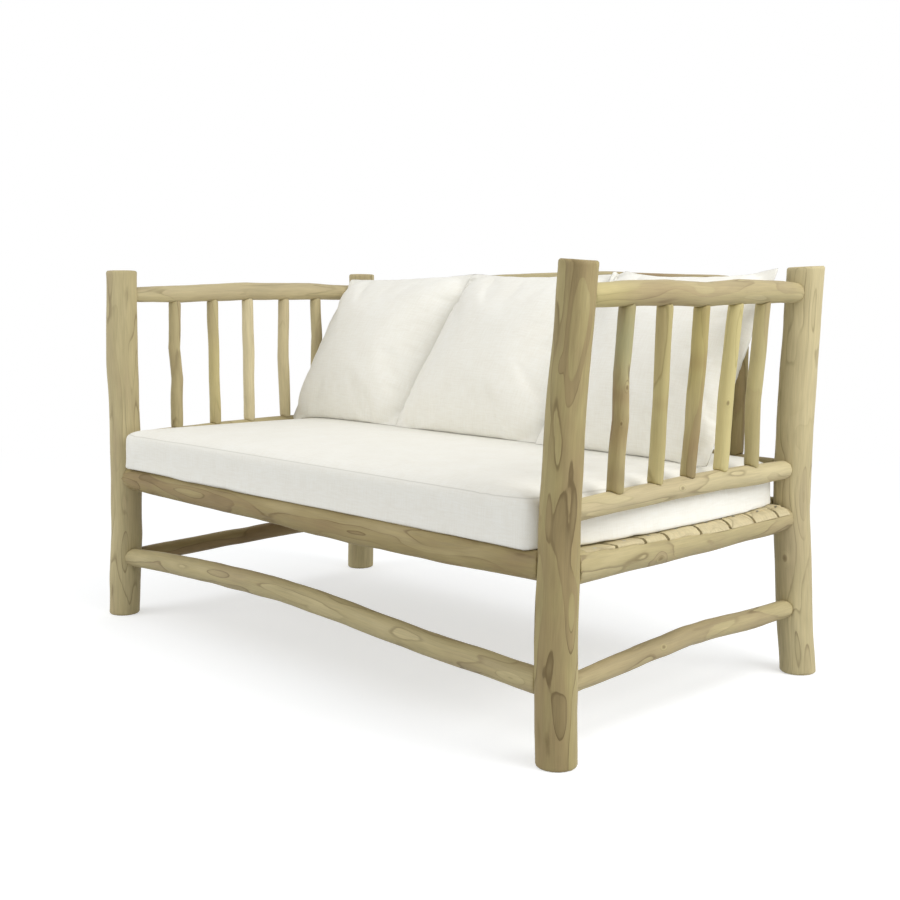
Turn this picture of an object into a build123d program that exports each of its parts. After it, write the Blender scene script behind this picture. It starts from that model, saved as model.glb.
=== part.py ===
from build123d import *
import math
import os

# A garden sofa of peeled teak branches with loose canvas cushions, in millimetres.
# X runs along the seat to the right arm, Y from the front to the back, Z up.
# The origin is on the floor, in the middle of the four posts.

os.makedirs("parts", exist_ok=True)

# Frame
post_spacing_x = 1402.0
post_spacing_y = 758.0
post_height = 830.0
post_girth = 74.0
post_end_chamfer = 3.0

seat_rail_height = 334.0
seat_rail_girth = 61.0
side_rail_height = 326.5
side_rail_girth = 58.0

front_stretcher_height = 143.0
side_stretcher_height = 138.0
stretcher_girth = 47.0

low_rail_height = 424.0
low_rail_girth = 40.0
top_rail_height = 776.0
top_rail_girth = 45.0

spindle_girth = 29.0
spindle_pitch = 110.0
arm_spindles = 5
back_spindles = 11

# Seat deck
slat_thickness = 16.0
slat_gap = 8.0
slat_top_height = 353.0
deck_front = 319.0
deck_back = 318.0
slat_edge_chamfer = 2.5
slat_end_reach = 12.0
bearer_girth = 48.0
screw_radius = 2.2
screw_head_radius = 4.4
screw_head_depth = 2.2
screw_length = 38.0

# Joinery
log_sides = 18
spindle_sides = 12
screw_sides = 6
screw_head_taper = 40.0
tenon_side = 23.0
tenon_spacing = 7.0
bearer_tenon_side = 16.0
bearer_tenon_length = 17.0
spindle_tenon_side = 13.0
spindle_tenon_length = 13.0
fit_gap = 0.15
tenon_end_gap = 0.5

# Cushions
seat_cushion_length = 1311.0
seat_cushion_depth = 746.0
seat_cushion_border = 75.0
seat_cushion_crown = 15.0
seat_cushion_shift = 5.0
seat_cushion_front_lap = 36.0
seat_front_corner_radius = 22.0
seat_back_corner_radius = 36.0
back_cushion_row = 1335.0
back_cushion_height = 428.0
back_cushion_plump = 63.0
soft_gap = 0.5

# Bends of the logs. Each row is a cross-section: its share of the length, then its sideways sway,
# its upward or backward sway and its girth, as shares of the log's girth.
post_front_left_shares = (
    (0.0, 0.00, 0.00, 0.98),
    (0.09, 0.03, 0.03, 1.00),
    (0.24, 0.11, 0.11, 1.00),
    (0.50, 0.15, 0.15, 0.99),
    (0.76, 0.13, 0.13, 0.99),
    (1.0, 0.18, 0.18, 0.97),
)
post_front_right_shares = (
    (0.0, 0.00, 0.00, 0.95),
    (0.25, -0.02, -0.02, 0.98),
    (0.55, 0.03, 0.03, 0.93),
    (0.74, 0.10, 0.11, 0.90),
    (0.87, 0.19, 0.20, 0.89),
    (1.0, 0.26, 0.27, 0.88),
)
post_back_right_shares = (
    (0.0, 0.00, 0.00, 0.99),
    (0.18, -0.11, -0.12, 1.00),
    (0.41, -0.22, -0.23, 1.02),
    (0.62, -0.21, -0.22, 1.01),
    (0.80, -0.16, -0.17, 1.00),
    (1.0, -0.10, -0.11, 1.00),
)
post_back_left_shares = (
    (0.0, -0.03, -0.03, 0.98),
    (0.30, 0.04, 0.01, 0.96),
    (0.65, 0.03, 0.07, 0.93),
    (1.0, 0.07, 0.07, 0.95),
)
front_seat_rail_shares = (
    (0.0, 0.0, 0.07, 0.92),
    (0.16, 0.02, 0.04, 1.02),
    (0.38, 0.05, 0.00, 1.00),
    (0.61, 0.02, -0.06, 1.08),
    (0.80, -0.02, -0.05, 1.00),
    (1.0, 0.0, 0.0, 0.90),
)
back_seat_rail_shares = (
    (0.0, 0.0, 0.0, 0.94),
    (0.30, -0.06, -0.06, 1.02),
    (0.62, 0.03, -0.10, 0.98),
    (1.0, 0.0, -0.02, 0.92),
)
right_seat_rail_shares = (
    (0.0, 0.0, 0.04, 1.02),
    (0.30, 0.04, 0.00, 1.00),
    (0.62, 0.05, -0.03, 0.96),
    (0.88, 0.02, -0.03, 0.90),
    (1.0, 0.0, -0.02, 0.84),
)
left_seat_rail_shares = (
    (0.0, 0.0, 0.0, 0.94),
    (0.35, -0.05, -0.02, 1.02),
    (0.70, 0.02, -0.03, 1.00),
    (1.0, 0.0, 0.0, 0.92),
)
front_stretcher_shares = (
    (0.0, 0.0, -0.05, 0.90),
    (0.12, 0.0, 0.20, 1.00),
    (0.27, 0.02, 0.41, 1.05),
    (0.46, 0.05, 0.49, 1.02),
    (0.60, 0.05, 0.31, 1.02),
    (0.76, 0.0, 0.05, 0.99),
    (1.0, 0.0, -0.19, 0.96),
)
right_stretcher_shares = (
    (0.0, 0.0, -0.17, 0.67),
    (0.22, 0.0, -0.02, 0.79),
    (0.50, 0.04, 0.24, 0.82),
    (0.58, 0.05, 0.19, 0.84),
    (0.75, 0.04, 0.05, 0.84),
    (1.0, 0.0, -0.02, 0.78),
)
left_stretcher_shares = (
    (0.0, 0.0, -0.04, 0.86),
    (0.38, 0.05, 0.13, 0.88),
    (0.70, 0.03, 0.23, 0.90),
    (1.0, 0.0, 0.08, 0.90),
)
right_low_rail_shares = (
    (0.0, 0.0, -0.02, 0.92),
    (0.25, 0.03, 0.08, 0.99),
    (0.55, 0.05, 0.13, 1.00),
    (0.80, 0.02, 0.06, 1.04),
    (1.0, 0.0, -0.02, 0.96),
)
left_low_rail_shares = (
    (0.0, 0.0, 0.02, 0.92),
    (0.30, -0.04, 0.18, 1.00),
    (0.65, -0.03, 0.24, 1.00),
    (1.0, 0.0, 0.05, 0.94),
)
right_top_rail_shares = (
    (0.0, 0.0, -0.06, 0.88),
    (0.17, 0.02, 0.01, 0.96),
    (0.35, 0.06, 0.04, 1.02),
    (0.52, 0.06, -0.01, 1.00),
    (0.66, 0.03, 0.10, 1.06),
    (1.0, 0.0, 0.06, 0.90),
)
left_top_rail_shares = (
    (0.0, 0.0, -0.08, 0.74),
    (0.20, -0.02, 0.00, 0.96),
    (0.48, -0.06, 0.16, 1.03),
    (0.75, -0.04, 0.14, 1.00),
    (1.0, 0.0, 0.05, 0.84),
)
back_low_rail_shares = (
    (0.0, 0.0, 0.0, 0.94),
    (0.25, 0.05, 0.12, 1.00),
    (0.50, 0.0, 0.20, 1.04),
    (0.78, -0.05, 0.12, 1.00),
    (1.0, 0.0, -0.10, 0.92),
)
back_top_rail_shares = (
    (0.0, 0.0, 0.0, 0.92),
    (0.18, 0.02, 0.32, 1.00),
    (0.40, 0.05, 0.56, 1.04),
    (0.62, 0.05, 0.64, 1.02),
    (0.86, 0.02, 0.40, 0.98),
    (1.0, 0.0, 0.0, 0.90),
)
bearer_shares = (
    (0.0, 0.0, 0.0, 0.96),
    (0.5, 0.05, 0.02, 1.02),
    (1.0, 0.0, 0.0, 0.96),
)

# Five ways in which a branch is crooked, shared out among the spindles in turn
spindle_straight_shares = ((0.0, 0.0, 0.0, 1.02), (0.45, 0.0, 0.03, 0.97), (1.0, 0.0, 0.0, 1.04))
spindle_kinked_shares = (
    (0.0, 0.0, -0.06, 1.06),
    (0.40, 0.05, 0.10, 1.03),
    (0.62, 0.02, -0.20, 1.00),
    (1.0, 0.0, 0.10, 1.06),
)
spindle_bowed_shares = ((0.0, 0.0, 0.0, 1.02), (0.55, 0.10, -0.02, 1.05), (1.0, 0.0, 0.0, 1.04))
spindle_swollen_shares = ((0.0, 0.0, 0.0, 1.02), (0.50, -0.08, -0.14, 1.07), (1.0, 0.0, 0.05, 1.03))
spindle_knotty_shares = (
    (0.0, 0.0, 0.0, 1.00),
    (0.42, 0.10, -0.12, 1.04),
    (0.66, 0.05, 0.16, 1.07),
    (1.0, 0.0, 0.0, 1.03),
)
spindle_curved_shares = (
    (0.0, 0.0, 0.0, 1.00),
    (0.40, 0.10, -0.48, 1.05),
    (0.68, 0.05, -0.28, 1.05),
    (1.0, 0.0, 0.0, 1.04),
)
spindle_kinds = (
    spindle_kinked_shares,
    spindle_straight_shares,
    spindle_bowed_shares,
    spindle_swollen_shares,
    spindle_knotty_shares,
)
arm_spindle_kinds = {"left": spindle_kinds, "right": spindle_kinds[:-1] + (spindle_curved_shares,)}

# How far the foot and the head of each arm spindle stand from its even place, as shares of the pitch
arm_spindle_lean_shares = {
    "left": ((0.0, 0.0), (0.02, 0.0), (-0.02, -0.03), (0.05, 0.03), (0.0, 0.0)),
    "right": ((-0.09, 0.0), (-0.01, 0.03), (-0.12, 0.09), (-0.12, 0.12), (-0.15, 0.0)),
}

# Widths of the deck slats, and the place of the bearer
slat_width_shares = (0.127, 0.124, 0.098, 0.160, 0.153, 0.136, 0.132, 0.070)
bearer_place_share = 0.5
bearer_sunk_share = 0.38
arm_middle_share = 0.04

# The border of the seat cushion: share of the border's height, share of the outline
border_levels_shares = ((0.0, 0.988), (0.12, 0.998), (0.5, 1.0), (0.88, 0.998), (1.0, 0.990))

# A crown shrinks the outline by the same share from level to level and rises steeply at first
crown_step_share = 0.95
seat_crown_levels = 8
pillow_levels = 11
crown_edge_power = 2.4
crown_top_power = 0.6
# Bottom, right, top and left edge of a back cushion
drawn_in_shares = (0.006, 0.016, 0.046, 0.016)
seat_drawn_in_share = 0.004
seat_bulge_share = 0.016
drawn_in_turn_share = 0.30
drawn_in_turn_depth_share = 0.84

# Corners of each back cushion along the row, as shares of the row's length: low left, low right,
# top left, top right. The cushions lean on each other, so their shared edges slant.
back_cushion_corner_shares = {
    "back_cushion_left": (0.000, 0.306, 0.010, 0.353),
    "back_cushion_middle": (0.310, 0.654, 0.358, 0.687),
    "back_cushion_right": (0.657, 0.991, 0.690, 1.0),
}
# Heights of their top left and top right corners, as shares of the height
back_cushion_top_shares = {
    "back_cushion_left": (0.955, 0.985),
    "back_cushion_middle": (0.99, 0.98),
    "back_cushion_right": (1.0, 0.985),
}
back_cushion_forward_shares = {
    "back_cushion_left": 0.0,
    "back_cushion_middle": 0.0,
    "back_cushion_right": 0.015,
}
back_cushion_recline = 29.0


class Log:
    """A peeled branch with parallel cross-sections along a slightly bent axis."""

    def __init__(self, start, end, across, girth, shares, sides=log_sides):
        self.start = start
        self.end = end
        self.across = across
        self.girth = girth
        self.shares = shares
        self.sides = sides
        self.along = (end - start).normalized()
        self.lift = self.along.cross(across).normalized()

    def place(self, share, sideways, upward):
        straight = self.start + (self.end - self.start) * share
        return straight + (self.across * sideways + self.lift * upward) * self.girth

    def at(self, share):
        """Centre and radius of the log at a share of its length."""
        rows = self.shares
        upper = next(k for k in range(1, len(rows)) if share <= rows[k][0] or k == len(rows) - 1)
        before = rows[upper - 1]
        after = rows[upper]
        part = (share - before[0]) / (after[0] - before[0])
        sideways, upward, girth = (before[k] + (after[k] - before[k]) * part for k in (1, 2, 3))
        return self.place(share, sideways, upward), self.girth * girth / 2

    def share_at(self, value, axis):
        """Share of the length at which the straight axis passes a coordinate."""
        begin = tuple(self.start)[axis]
        return (value - begin) / (tuple(self.end)[axis] - begin)

    def section(self, centre):
        return Plane(origin=centre, x_dir=self.across, z_dir=self.along)


def log_body(log, allowance=0.0):
    """The whole log, thicker all round by an allowance."""
    with BuildPart() as body:
        for share, sideways, upward, girth in log.shares:
            with BuildSketch(log.section(log.place(share, sideways, upward))):
                RegularPolygon(log.girth * girth / 2 + allowance, log.sides)
        loft(ruled=True)
    return body.part


def finish(piece, name):
    piece.part.label = name
    export_step(piece.part, f"parts/{name}.step")


# Posts
half_x = post_spacing_x / 2
half_y = post_spacing_y / 2
along_x = Vector(1, 0, 0)
along_y = Vector(0, 1, 0)
up = Vector(0, 0, 1)


def post_log(x, y, shares):
    return Log(Vector(x, y, 0), Vector(x, y, post_height), along_x, post_girth, shares)


posts = {
    "post_front_left": post_log(-half_x, -half_y, post_front_left_shares),
    "post_front_right": post_log(half_x, -half_y, post_front_right_shares),
    "post_back_left": post_log(-half_x, half_y, post_back_left_shares),
    "post_back_right": post_log(half_x, half_y, post_back_right_shares),
}


def post_axis(name, height):
    """Point on a post's own bent axis."""
    return posts[name].at(height / post_height)[0]


def rail_log(first, second, height, girth, shares):
    start = post_axis(first, height)
    end = post_axis(second, height)
    across = along_y if abs((end - start).X) > abs((end - start).Y) else -along_x
    return Log(start, end, across, girth, shares)


# Rails and stretchers, each with the two posts that carry it
front_posts = ("post_front_left", "post_front_right")
back_posts = ("post_back_left", "post_back_right")
left_posts = ("post_front_left", "post_back_left")
right_posts = ("post_front_right", "post_back_right")

rails = {
    "seat_rail_front": (front_posts, seat_rail_height, seat_rail_girth, front_seat_rail_shares),
    "seat_rail_back": (back_posts, seat_rail_height, seat_rail_girth, back_seat_rail_shares),
    "seat_rail_left": (left_posts, side_rail_height, side_rail_girth, left_seat_rail_shares),
    "seat_rail_right": (right_posts, side_rail_height, side_rail_girth, right_seat_rail_shares),
    "stretcher_front": (front_posts, front_stretcher_height, stretcher_girth, front_stretcher_shares),
    "stretcher_left": (left_posts, side_stretcher_height, stretcher_girth, left_stretcher_shares),
    "stretcher_right": (right_posts, side_stretcher_height, stretcher_girth, right_stretcher_shares),
    "arm_low_rail_left": (left_posts, low_rail_height, low_rail_girth, left_low_rail_shares),
    "arm_low_rail_right": (right_posts, low_rail_height, low_rail_girth, right_low_rail_shares),
    "arm_top_rail_left": (left_posts, top_rail_height, top_rail_girth, left_top_rail_shares),
    "arm_top_rail_right": (right_posts, top_rail_height, top_rail_girth, right_top_rail_shares),
    "back_low_rail": (back_posts, low_rail_height, low_rail_girth, back_low_rail_shares),
    "back_top_rail": (back_posts, top_rail_height, top_rail_girth, back_top_rail_shares),
}
rail_logs = {}
for name, (pair, height, girth, shares) in rails.items():
    rail_logs[name] = rail_log(*pair, height, girth, shares)


# Spindles stand between a low rail and a top rail, evenly spaced about the middle of the rails
class Spindle:
    def __init__(self, low_name, top_name, foot_place, head_place, axis, kind, across):
        low = rail_logs[low_name]
        top = rail_logs[top_name]
        self.low_name = low_name
        self.top_name = top_name
        foot, self.low_radius = low.at(low.share_at(foot_place, axis))
        head, self.top_radius = top.at(top.share_at(head_place, axis))
        self.log = Log(foot, head, across, spindle_girth, kind, spindle_sides)


spindles = {}
arm_middle = -post_girth * arm_middle_share
for side_name in ("left", "right"):
    for k in range(arm_spindles):
        even_place = arm_middle + (k - (arm_spindles - 1) / 2) * spindle_pitch
        leans = arm_spindle_lean_shares[side_name]
        foot_lean, head_lean = (spindle_pitch * share for share in leans[k % len(leans)])
        kind = arm_spindle_kinds[side_name][k % len(spindle_kinds)]
        low = f"arm_low_rail_{side_name}"
        top = f"arm_top_rail_{side_name}"
        places = (even_place + foot_lean, even_place + head_lean)
        spindles[f"spindle_{side_name}_{k + 1}"] = Spindle(low, top, *places, 1, kind, along_x)
for k in range(back_spindles):
    place = (k - (back_spindles - 1) / 2) * spindle_pitch
    kind = spindle_kinds[(3 * k + 2) % len(spindle_kinds)]
    name = f"spindle_back_{k + 1:02d}"
    spindles[name] = Spindle("back_low_rail", "back_top_rail", place, place, 0, kind, along_x)

# Deck: slats lie in a flat planed on the side rails and on a bearer between the long rails
slat_seat = slat_top_height - slat_thickness
bearer_height = slat_seat - bearer_girth * bearer_sunk_share
bearer_x = post_spacing_x * bearer_place_share - post_spacing_x / 2
front_rail = rail_logs["seat_rail_front"]
back_rail = rail_logs["seat_rail_back"]
bearer_front, bearer_front_radius = front_rail.at(front_rail.share_at(bearer_x, 0))
bearer_back, bearer_back_radius = back_rail.at(back_rail.share_at(bearer_x, 0))
bearer_log = Log(
    Vector(bearer_x, bearer_front.Y, bearer_height),
    Vector(bearer_x, bearer_back.Y, bearer_height),
    -along_x,
    bearer_girth,
    bearer_shares,
)


def square_peg(plane, side, length, allowance=0.0):
    """A square tenon, or with an allowance the mortise for it, standing on a plane."""
    with BuildPart() as peg:
        with BuildSketch(plane):
            Rectangle(side + 2 * allowance, side + 2 * allowance)
        extrude(amount=length)
    return peg.part


def rail_tenon(log, at_start, allowance=0.0):
    """The square tenon at one end of a rail, cut short of the post's middle."""
    centre = log.at(0.0)[0] if at_start else log.at(1.0)[0]
    inward = log.along if at_start else -log.along
    setback = tenon_side / 2 + tenon_spacing - (tenon_end_gap if allowance else 0.0)
    plane = Plane(origin=centre + inward * setback, x_dir=log.across, z_dir=inward)
    return square_peg(plane, tenon_side, post_girth / 2, allowance)


def spindle_tenon(spindle, at_low, allowance=0.0):
    """The square tenon of a spindle, from its blind end in a rail to inside the spindle."""
    log = spindle.log
    radius = spindle.low_radius if at_low else spindle.top_radius
    centre = log.start if at_low else log.end
    inward = log.along if at_low else -log.along
    blind = tenon_end_gap if allowance else 0.0
    shallow = radius - spindle_tenon_length - blind
    plane = Plane(origin=centre + inward * shallow, x_dir=log.across, z_dir=inward)
    return square_peg(plane, spindle_tenon_side, spindle_tenon_length + spindle_girth, allowance)


def bearer_tenon(at_front, allowance=0.0):
    """The square tenon of the bearer in a long seat rail."""
    centre = bearer_log.start if at_front else bearer_log.end
    radius = bearer_front_radius if at_front else bearer_back_radius
    inward = bearer_log.along if at_front else -bearer_log.along
    blind = tenon_end_gap if allowance else 0.0
    shallow = radius - bearer_tenon_length - blind
    plane = Plane(origin=centre + inward * shallow, x_dir=bearer_log.across, z_dir=inward)
    return square_peg(plane, bearer_tenon_side, bearer_tenon_length + bearer_girth, allowance)


# Slats: their outlines along Y, where they end on the side rails, and their screws
deck_length = deck_back + deck_front
slat_run = deck_length - slat_gap * (len(slat_width_shares) - 1)
slat_width_total = sum(slat_width_shares)
slat_edges = []
edge = -deck_front
for width_share in slat_width_shares:
    width = slat_run * width_share / slat_width_total
    slat_edges.append((edge, edge + width))
    edge += width + slat_gap
slat_middles = [(low_edge + high_edge) / 2 for low_edge, high_edge in slat_edges]


def slat_end(log):
    """Place along X of the shoulder in a side rail where all slats end."""
    return log.start.X + math.copysign(slat_end_reach, log.start.X)


def screw_places():
    """Where the screws go down through the slats: each side rail and the bearer, under each slat."""
    places = []
    for y in slat_middles:
        for name in ("seat_rail_left", "seat_rail_right"):
            log = rail_logs[name]
            places.append((log.at(log.share_at(y, 1))[0].X, y))
        places.append((bearer_x, y))
    return places


screw_points = screw_places()


def screw_group(allowance=0.0):
    """The screws with countersunk heads, or with an allowance the holes for them."""
    with BuildPart() as group:
        with BuildSketch(Plane.XY.offset(slat_top_height)):
            with Locations(*screw_points):
                RegularPolygon(screw_radius + allowance, screw_sides)
        extrude(amount=-(screw_length + (tenon_end_gap if allowance else 0.0)))
        with BuildSketch(Plane.XY.offset(slat_top_height)):
            with Locations(*screw_points):
                RegularPolygon(screw_head_radius + allowance, screw_sides)
        extrude(amount=-screw_head_depth, taper=screw_head_taper)
    return group.part


screw_holes = screw_group(fit_gap)
envelopes = {name: log_body(log, fit_gap) for name, log in posts.items()}
rail_envelopes = {name: log_body(log, fit_gap) for name, log in rail_logs.items()}

# Posts, with a mortise for each rail end
for name, log in posts.items():
    with BuildPart() as post:
        add(log_body(log))
        chamfer(post.faces().sort_by(Axis.Z)[0].edges(), post_end_chamfer)
        chamfer(post.faces().sort_by(Axis.Z)[-1].edges(), post_end_chamfer)
        for rail_name, (pair, height, girth, shares) in rails.items():
            if name in pair:
                mortise = rail_tenon(rail_logs[rail_name], name == pair[0], fit_gap)
                add(mortise, mode=Mode.SUBTRACT)
    finish(post, name)

# Rails and stretchers, scribed to the round of their posts
for name, log in rail_logs.items():
    pair = rails[name][0]
    with BuildPart() as rail:
        add(log_body(log))
        for post_name in pair:
            add(envelopes[post_name], mode=Mode.SUBTRACT)
        if name in ("seat_rail_left", "seat_rail_right"):
            add(rail_envelopes["seat_rail_front"], mode=Mode.SUBTRACT)
            add(rail_envelopes["seat_rail_back"], mode=Mode.SUBTRACT)
        add(rail_tenon(log, True))
        add(rail_tenon(log, False))
        for spindle in spindles.values():
            if spindle.low_name == name:
                add(spindle_tenon(spindle, True, fit_gap), mode=Mode.SUBTRACT)
            if spindle.top_name == name:
                add(spindle_tenon(spindle, False, fit_gap), mode=Mode.SUBTRACT)
        if name == "seat_rail_front":
            add(bearer_tenon(True, fit_gap), mode=Mode.SUBTRACT)
        if name == "seat_rail_back":
            add(bearer_tenon(False, fit_gap), mode=Mode.SUBTRACT)
        if name in ("seat_rail_left", "seat_rail_right"):
            shoulder = slat_end(log) + math.copysign(fit_gap, log.start.X)
            flat_middle = shoulder - math.copysign(side_rail_girth / 2, log.start.X)
            with BuildSketch(Plane.XY.offset(slat_seat - fit_gap)):
                with Locations((flat_middle, (deck_back - deck_front) / 2)):
                    Rectangle(side_rail_girth, deck_length + 2 * fit_gap)
            extrude(amount=side_rail_girth, mode=Mode.SUBTRACT)
            add(screw_holes, mode=Mode.SUBTRACT)
    finish(rail, name)

# Bearer under the middle of the slats, planed flat on top
with BuildPart() as bearer:
    add(log_body(bearer_log))
    add(rail_envelopes["seat_rail_front"], mode=Mode.SUBTRACT)
    add(rail_envelopes["seat_rail_back"], mode=Mode.SUBTRACT)
    with BuildSketch(Plane.XY.offset(slat_seat - fit_gap)):
        with Locations((bearer_x, 0)):
            Rectangle(2 * bearer_girth, post_spacing_y)
    extrude(amount=bearer_girth, mode=Mode.SUBTRACT)
    add(bearer_tenon(True))
    add(bearer_tenon(False))
    add(screw_holes, mode=Mode.SUBTRACT)
finish(bearer, "deck_bearer")

# Spindles, scribed to the round of their two rails
for name, spindle in spindles.items():
    with BuildPart() as stick:
        add(log_body(spindle.log))
        add(rail_envelopes[spindle.low_name], mode=Mode.SUBTRACT)
        add(rail_envelopes[spindle.top_name], mode=Mode.SUBTRACT)
        add(spindle_tenon(spindle, True))
        add(spindle_tenon(spindle, False))
    finish(stick, name)

# Slats, with their ends let into the side rails and trimmed to the rails' round
left_rail = rail_logs["seat_rail_left"]
right_rail = rail_logs["seat_rail_right"]
rail_rounds = (log_body(left_rail), log_body(right_rail))
left_end = slat_end(left_rail)
right_end = slat_end(right_rail)
for k, (low_edge, high_edge) in enumerate(slat_edges):
    middle_y = slat_middles[k]
    left_x = left_rail.at(left_rail.share_at(middle_y, 1))[0].X
    right_x = right_rail.at(right_rail.share_at(middle_y, 1))[0].X
    ends = []
    for rail_x, end_x, rail_round in ((left_x, left_end, rail_rounds[0]), (right_x, right_end, rail_rounds[1])):
        with BuildPart() as end_block:
            with BuildSketch(Plane.XY.offset(slat_seat)):
                with Locations(((rail_x + end_x) / 2, middle_y)):
                    Rectangle(abs(end_x - rail_x), high_edge - low_edge)
            extrude(amount=slat_thickness)
            add(rail_round, mode=Mode.INTERSECT)
        ends.append(end_block.part)
    with BuildPart() as slat:
        with BuildSketch(Plane.XY.offset(slat_seat)):
            with Locations(((left_x + right_x) / 2, middle_y)):
                Rectangle(right_x - left_x, high_edge - low_edge)
        extrude(amount=slat_thickness)
        long_edges = slat.edges().filter_by(Axis.X).group_by(Axis.Z)[-1]
        chamfer(long_edges, slat_edge_chamfer)
        for end_block in ends:
            add(end_block)
        add(screw_holes, mode=Mode.SUBTRACT)
    finish(slat, f"deck_slat_{k + 1}")

# Screws through the slats into the side rails and the bearer, as one group
with BuildPart() as screws:
    add(screw_group())
finish(screws, "deck_screws")


def swelling(size, least):
    """Share of a crown's height where its outline has shrunk to a size."""
    outward = (size - least) / (1 - least)
    return (1 - outward**crown_edge_power) ** crown_top_power


def crown_sizes(levels):
    return [crown_step_share**k for k in range(levels + 1)]


def rail_crest(name, x):
    """Highest point of a rail at a place along X."""
    log = rail_logs[name]
    centre, radius = log.at(log.share_at(x, 0))
    return centre + up * radius


# Seat cushion: it lies on the front rail and on the back of the deck, so it tilts back
seat_half_x = seat_cushion_length / 2
seat_half_y = seat_cushion_depth / 2
rest_left = rail_crest("seat_rail_front", seat_cushion_shift - seat_half_x)
rest_right = rail_crest("seat_rail_front", seat_cushion_shift + seat_half_x)
rest_back = Vector(rest_right.X, deck_back, slat_top_height)
seat_normal = (rest_right - rest_left).cross(rest_back - rest_left).normalized()
seat_rise = 0.0
for share, sideways, upward, girth in front_rail.shares[1:-1]:
    crest = front_rail.at(share)[0] + up * (front_rail.girth * girth / 2)
    seat_rise = max(seat_rise, (crest - rest_left).dot(seat_normal))
seat_middle_y = rest_left.Y - seat_cushion_front_lap + seat_half_y


def seat_plane(height):
    """Plane through the seat cushion at a height over its underside."""
    lift = seat_rise + soft_gap + height
    foot = Vector(seat_cushion_shift, seat_middle_y, 0)
    drop = (foot - rest_left).dot(seat_normal) / seat_normal.Z
    origin = foot - up * drop + seat_normal * lift
    return Plane(origin=origin, x_dir=along_x - seat_normal * seat_normal.X, z_dir=seat_normal)


def corner_points(corner, before, after, radius):
    """Ends and middle of the quarter arc between the directions to the two neighbours."""
    middle = corner + (before + after) * (radius * (1 - math.sqrt(0.5)))
    return corner + before * radius, middle, corner + after * radius


def seat_outline(plane, size):
    """Outline of the seat cushion: it swells out sideways between the posts, which press on its corners."""
    x = seat_half_x * size
    y = seat_half_y * size
    front = seat_front_corner_radius * size
    back = seat_back_corner_radius * size
    with BuildSketch(plane) as outline:
        with BuildLine():
            SagittaArc((-x + front, -y), (x - front, -y), 2 * x * seat_drawn_in_share)
            ThreePointArc(*corner_points(Vector(x, -y), -along_x, along_y, front))
            SagittaArc((x, -y + front), (x, y - back), -2 * y * seat_bulge_share)
            ThreePointArc(*corner_points(Vector(x, y), -along_y, -along_x, back))
            SagittaArc((x - back, y), (-x + back, y), 2 * x * seat_drawn_in_share)
            ThreePointArc(*corner_points(Vector(-x, y), along_x, -along_y, back))
            SagittaArc((-x, y - back), (-x, -y + front), -2 * y * seat_bulge_share)
            ThreePointArc(*corner_points(Vector(-x, -y), along_y, along_x, front))
        make_face()
    return outline.sketch


seat_sizes = crown_sizes(seat_crown_levels)
seam_share = border_levels_shares[-1][1]
levels = [(seat_cushion_border * height_share, size) for height_share, size in border_levels_shares]
for size in seat_sizes[1:]:
    rise = seat_cushion_crown * swelling(size, seat_sizes[-1])
    levels.append((seat_cushion_border + rise, size * seam_share))
with BuildPart() as seat_cushion:
    loft([seat_outline(seat_plane(height), size) for height, size in levels], ruled=True)
finish(seat_cushion, "seat_cushion")

# Back cushions: pillows with a seam all round, standing on the seat and leaning on the top rail
recline = math.radians(back_cushion_recline)
facing = Vector(0, -math.cos(recline), math.sin(recline))
pillow_sizes = crown_sizes(pillow_levels)
seat_top = seat_plane(seat_cushion_border + seat_cushion_crown)
row_plane = Plane(origin=(0, 0, 0), x_dir=seat_top.x_dir, z_dir=facing)
row_start = seat_cushion_shift - back_cushion_row / 2


def pillow_corners(name):
    """Seam corners in the pillow's own plane, counter-clockwise from the low left one."""
    low_left, low_right, top_left, top_right = back_cushion_corner_shares[name]
    left_top, right_top = back_cushion_top_shares[name]
    places = ((low_left, 0), (low_right, 0), (top_right, right_top), (top_left, left_top))
    return [Vector(row_start + back_cushion_row * a, back_cushion_height * b) for a, b in places]


def scaled_corners(corners, size):
    middle = (corners[0] + corners[1] + corners[2] + corners[3]) / 4
    return [middle + (corner - middle) * size for corner in corners]


def pillow_rear(corners):
    """Corners of all levels on the rear side, as offsets from the foot of the pillow."""
    points = []
    for size in pillow_sizes:
        depth = back_cushion_plump * swelling(size, pillow_sizes[-1])
        for corner in scaled_corners(corners, size):
            points.append(row_plane.from_local_coords(Vector(corner.X, corner.Y, -depth)))
    return points


def pillow_foot(name, corners):
    """Where a pillow stands: clear of the top rail behind it and of the seat below it."""
    rail = rail_logs["back_top_rail"]
    left = rail.share_at(corners[3].X, 0)
    right = rail.share_at(corners[2].X, 0)
    samples = [rail.at(left + (right - left) * k / pillow_levels) for k in range(pillow_levels + 1)]
    face = min(centre.Y - radius for centre, radius in samples)
    rear = pillow_rear(corners)
    forward = back_cushion_height * back_cushion_forward_shares[name]
    foot = along_y * (face - soft_gap - forward - max(point.Y for point in rear))
    lowest = min((foot + point - seat_top.origin).dot(seat_normal) for point in rear)
    return foot + up * ((soft_gap - lowest) / seat_normal.Z)


def pillow_outline(plane, corners):
    """A seam or level line, each side drawn in by three straight runs."""
    with BuildSketch(plane) as outline:
        with BuildLine():
            for k in range(4):
                start = corners[k]
                way = corners[(k + 1) % 4] - start
                inward = Vector(-way.Y, way.X) * (drawn_in_shares[k] * drawn_in_turn_depth_share)
                turn = way * drawn_in_turn_share
                Polyline(start, start + turn + inward, start + way - turn + inward, start + way)
        make_face()
    return outline.sketch


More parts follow.
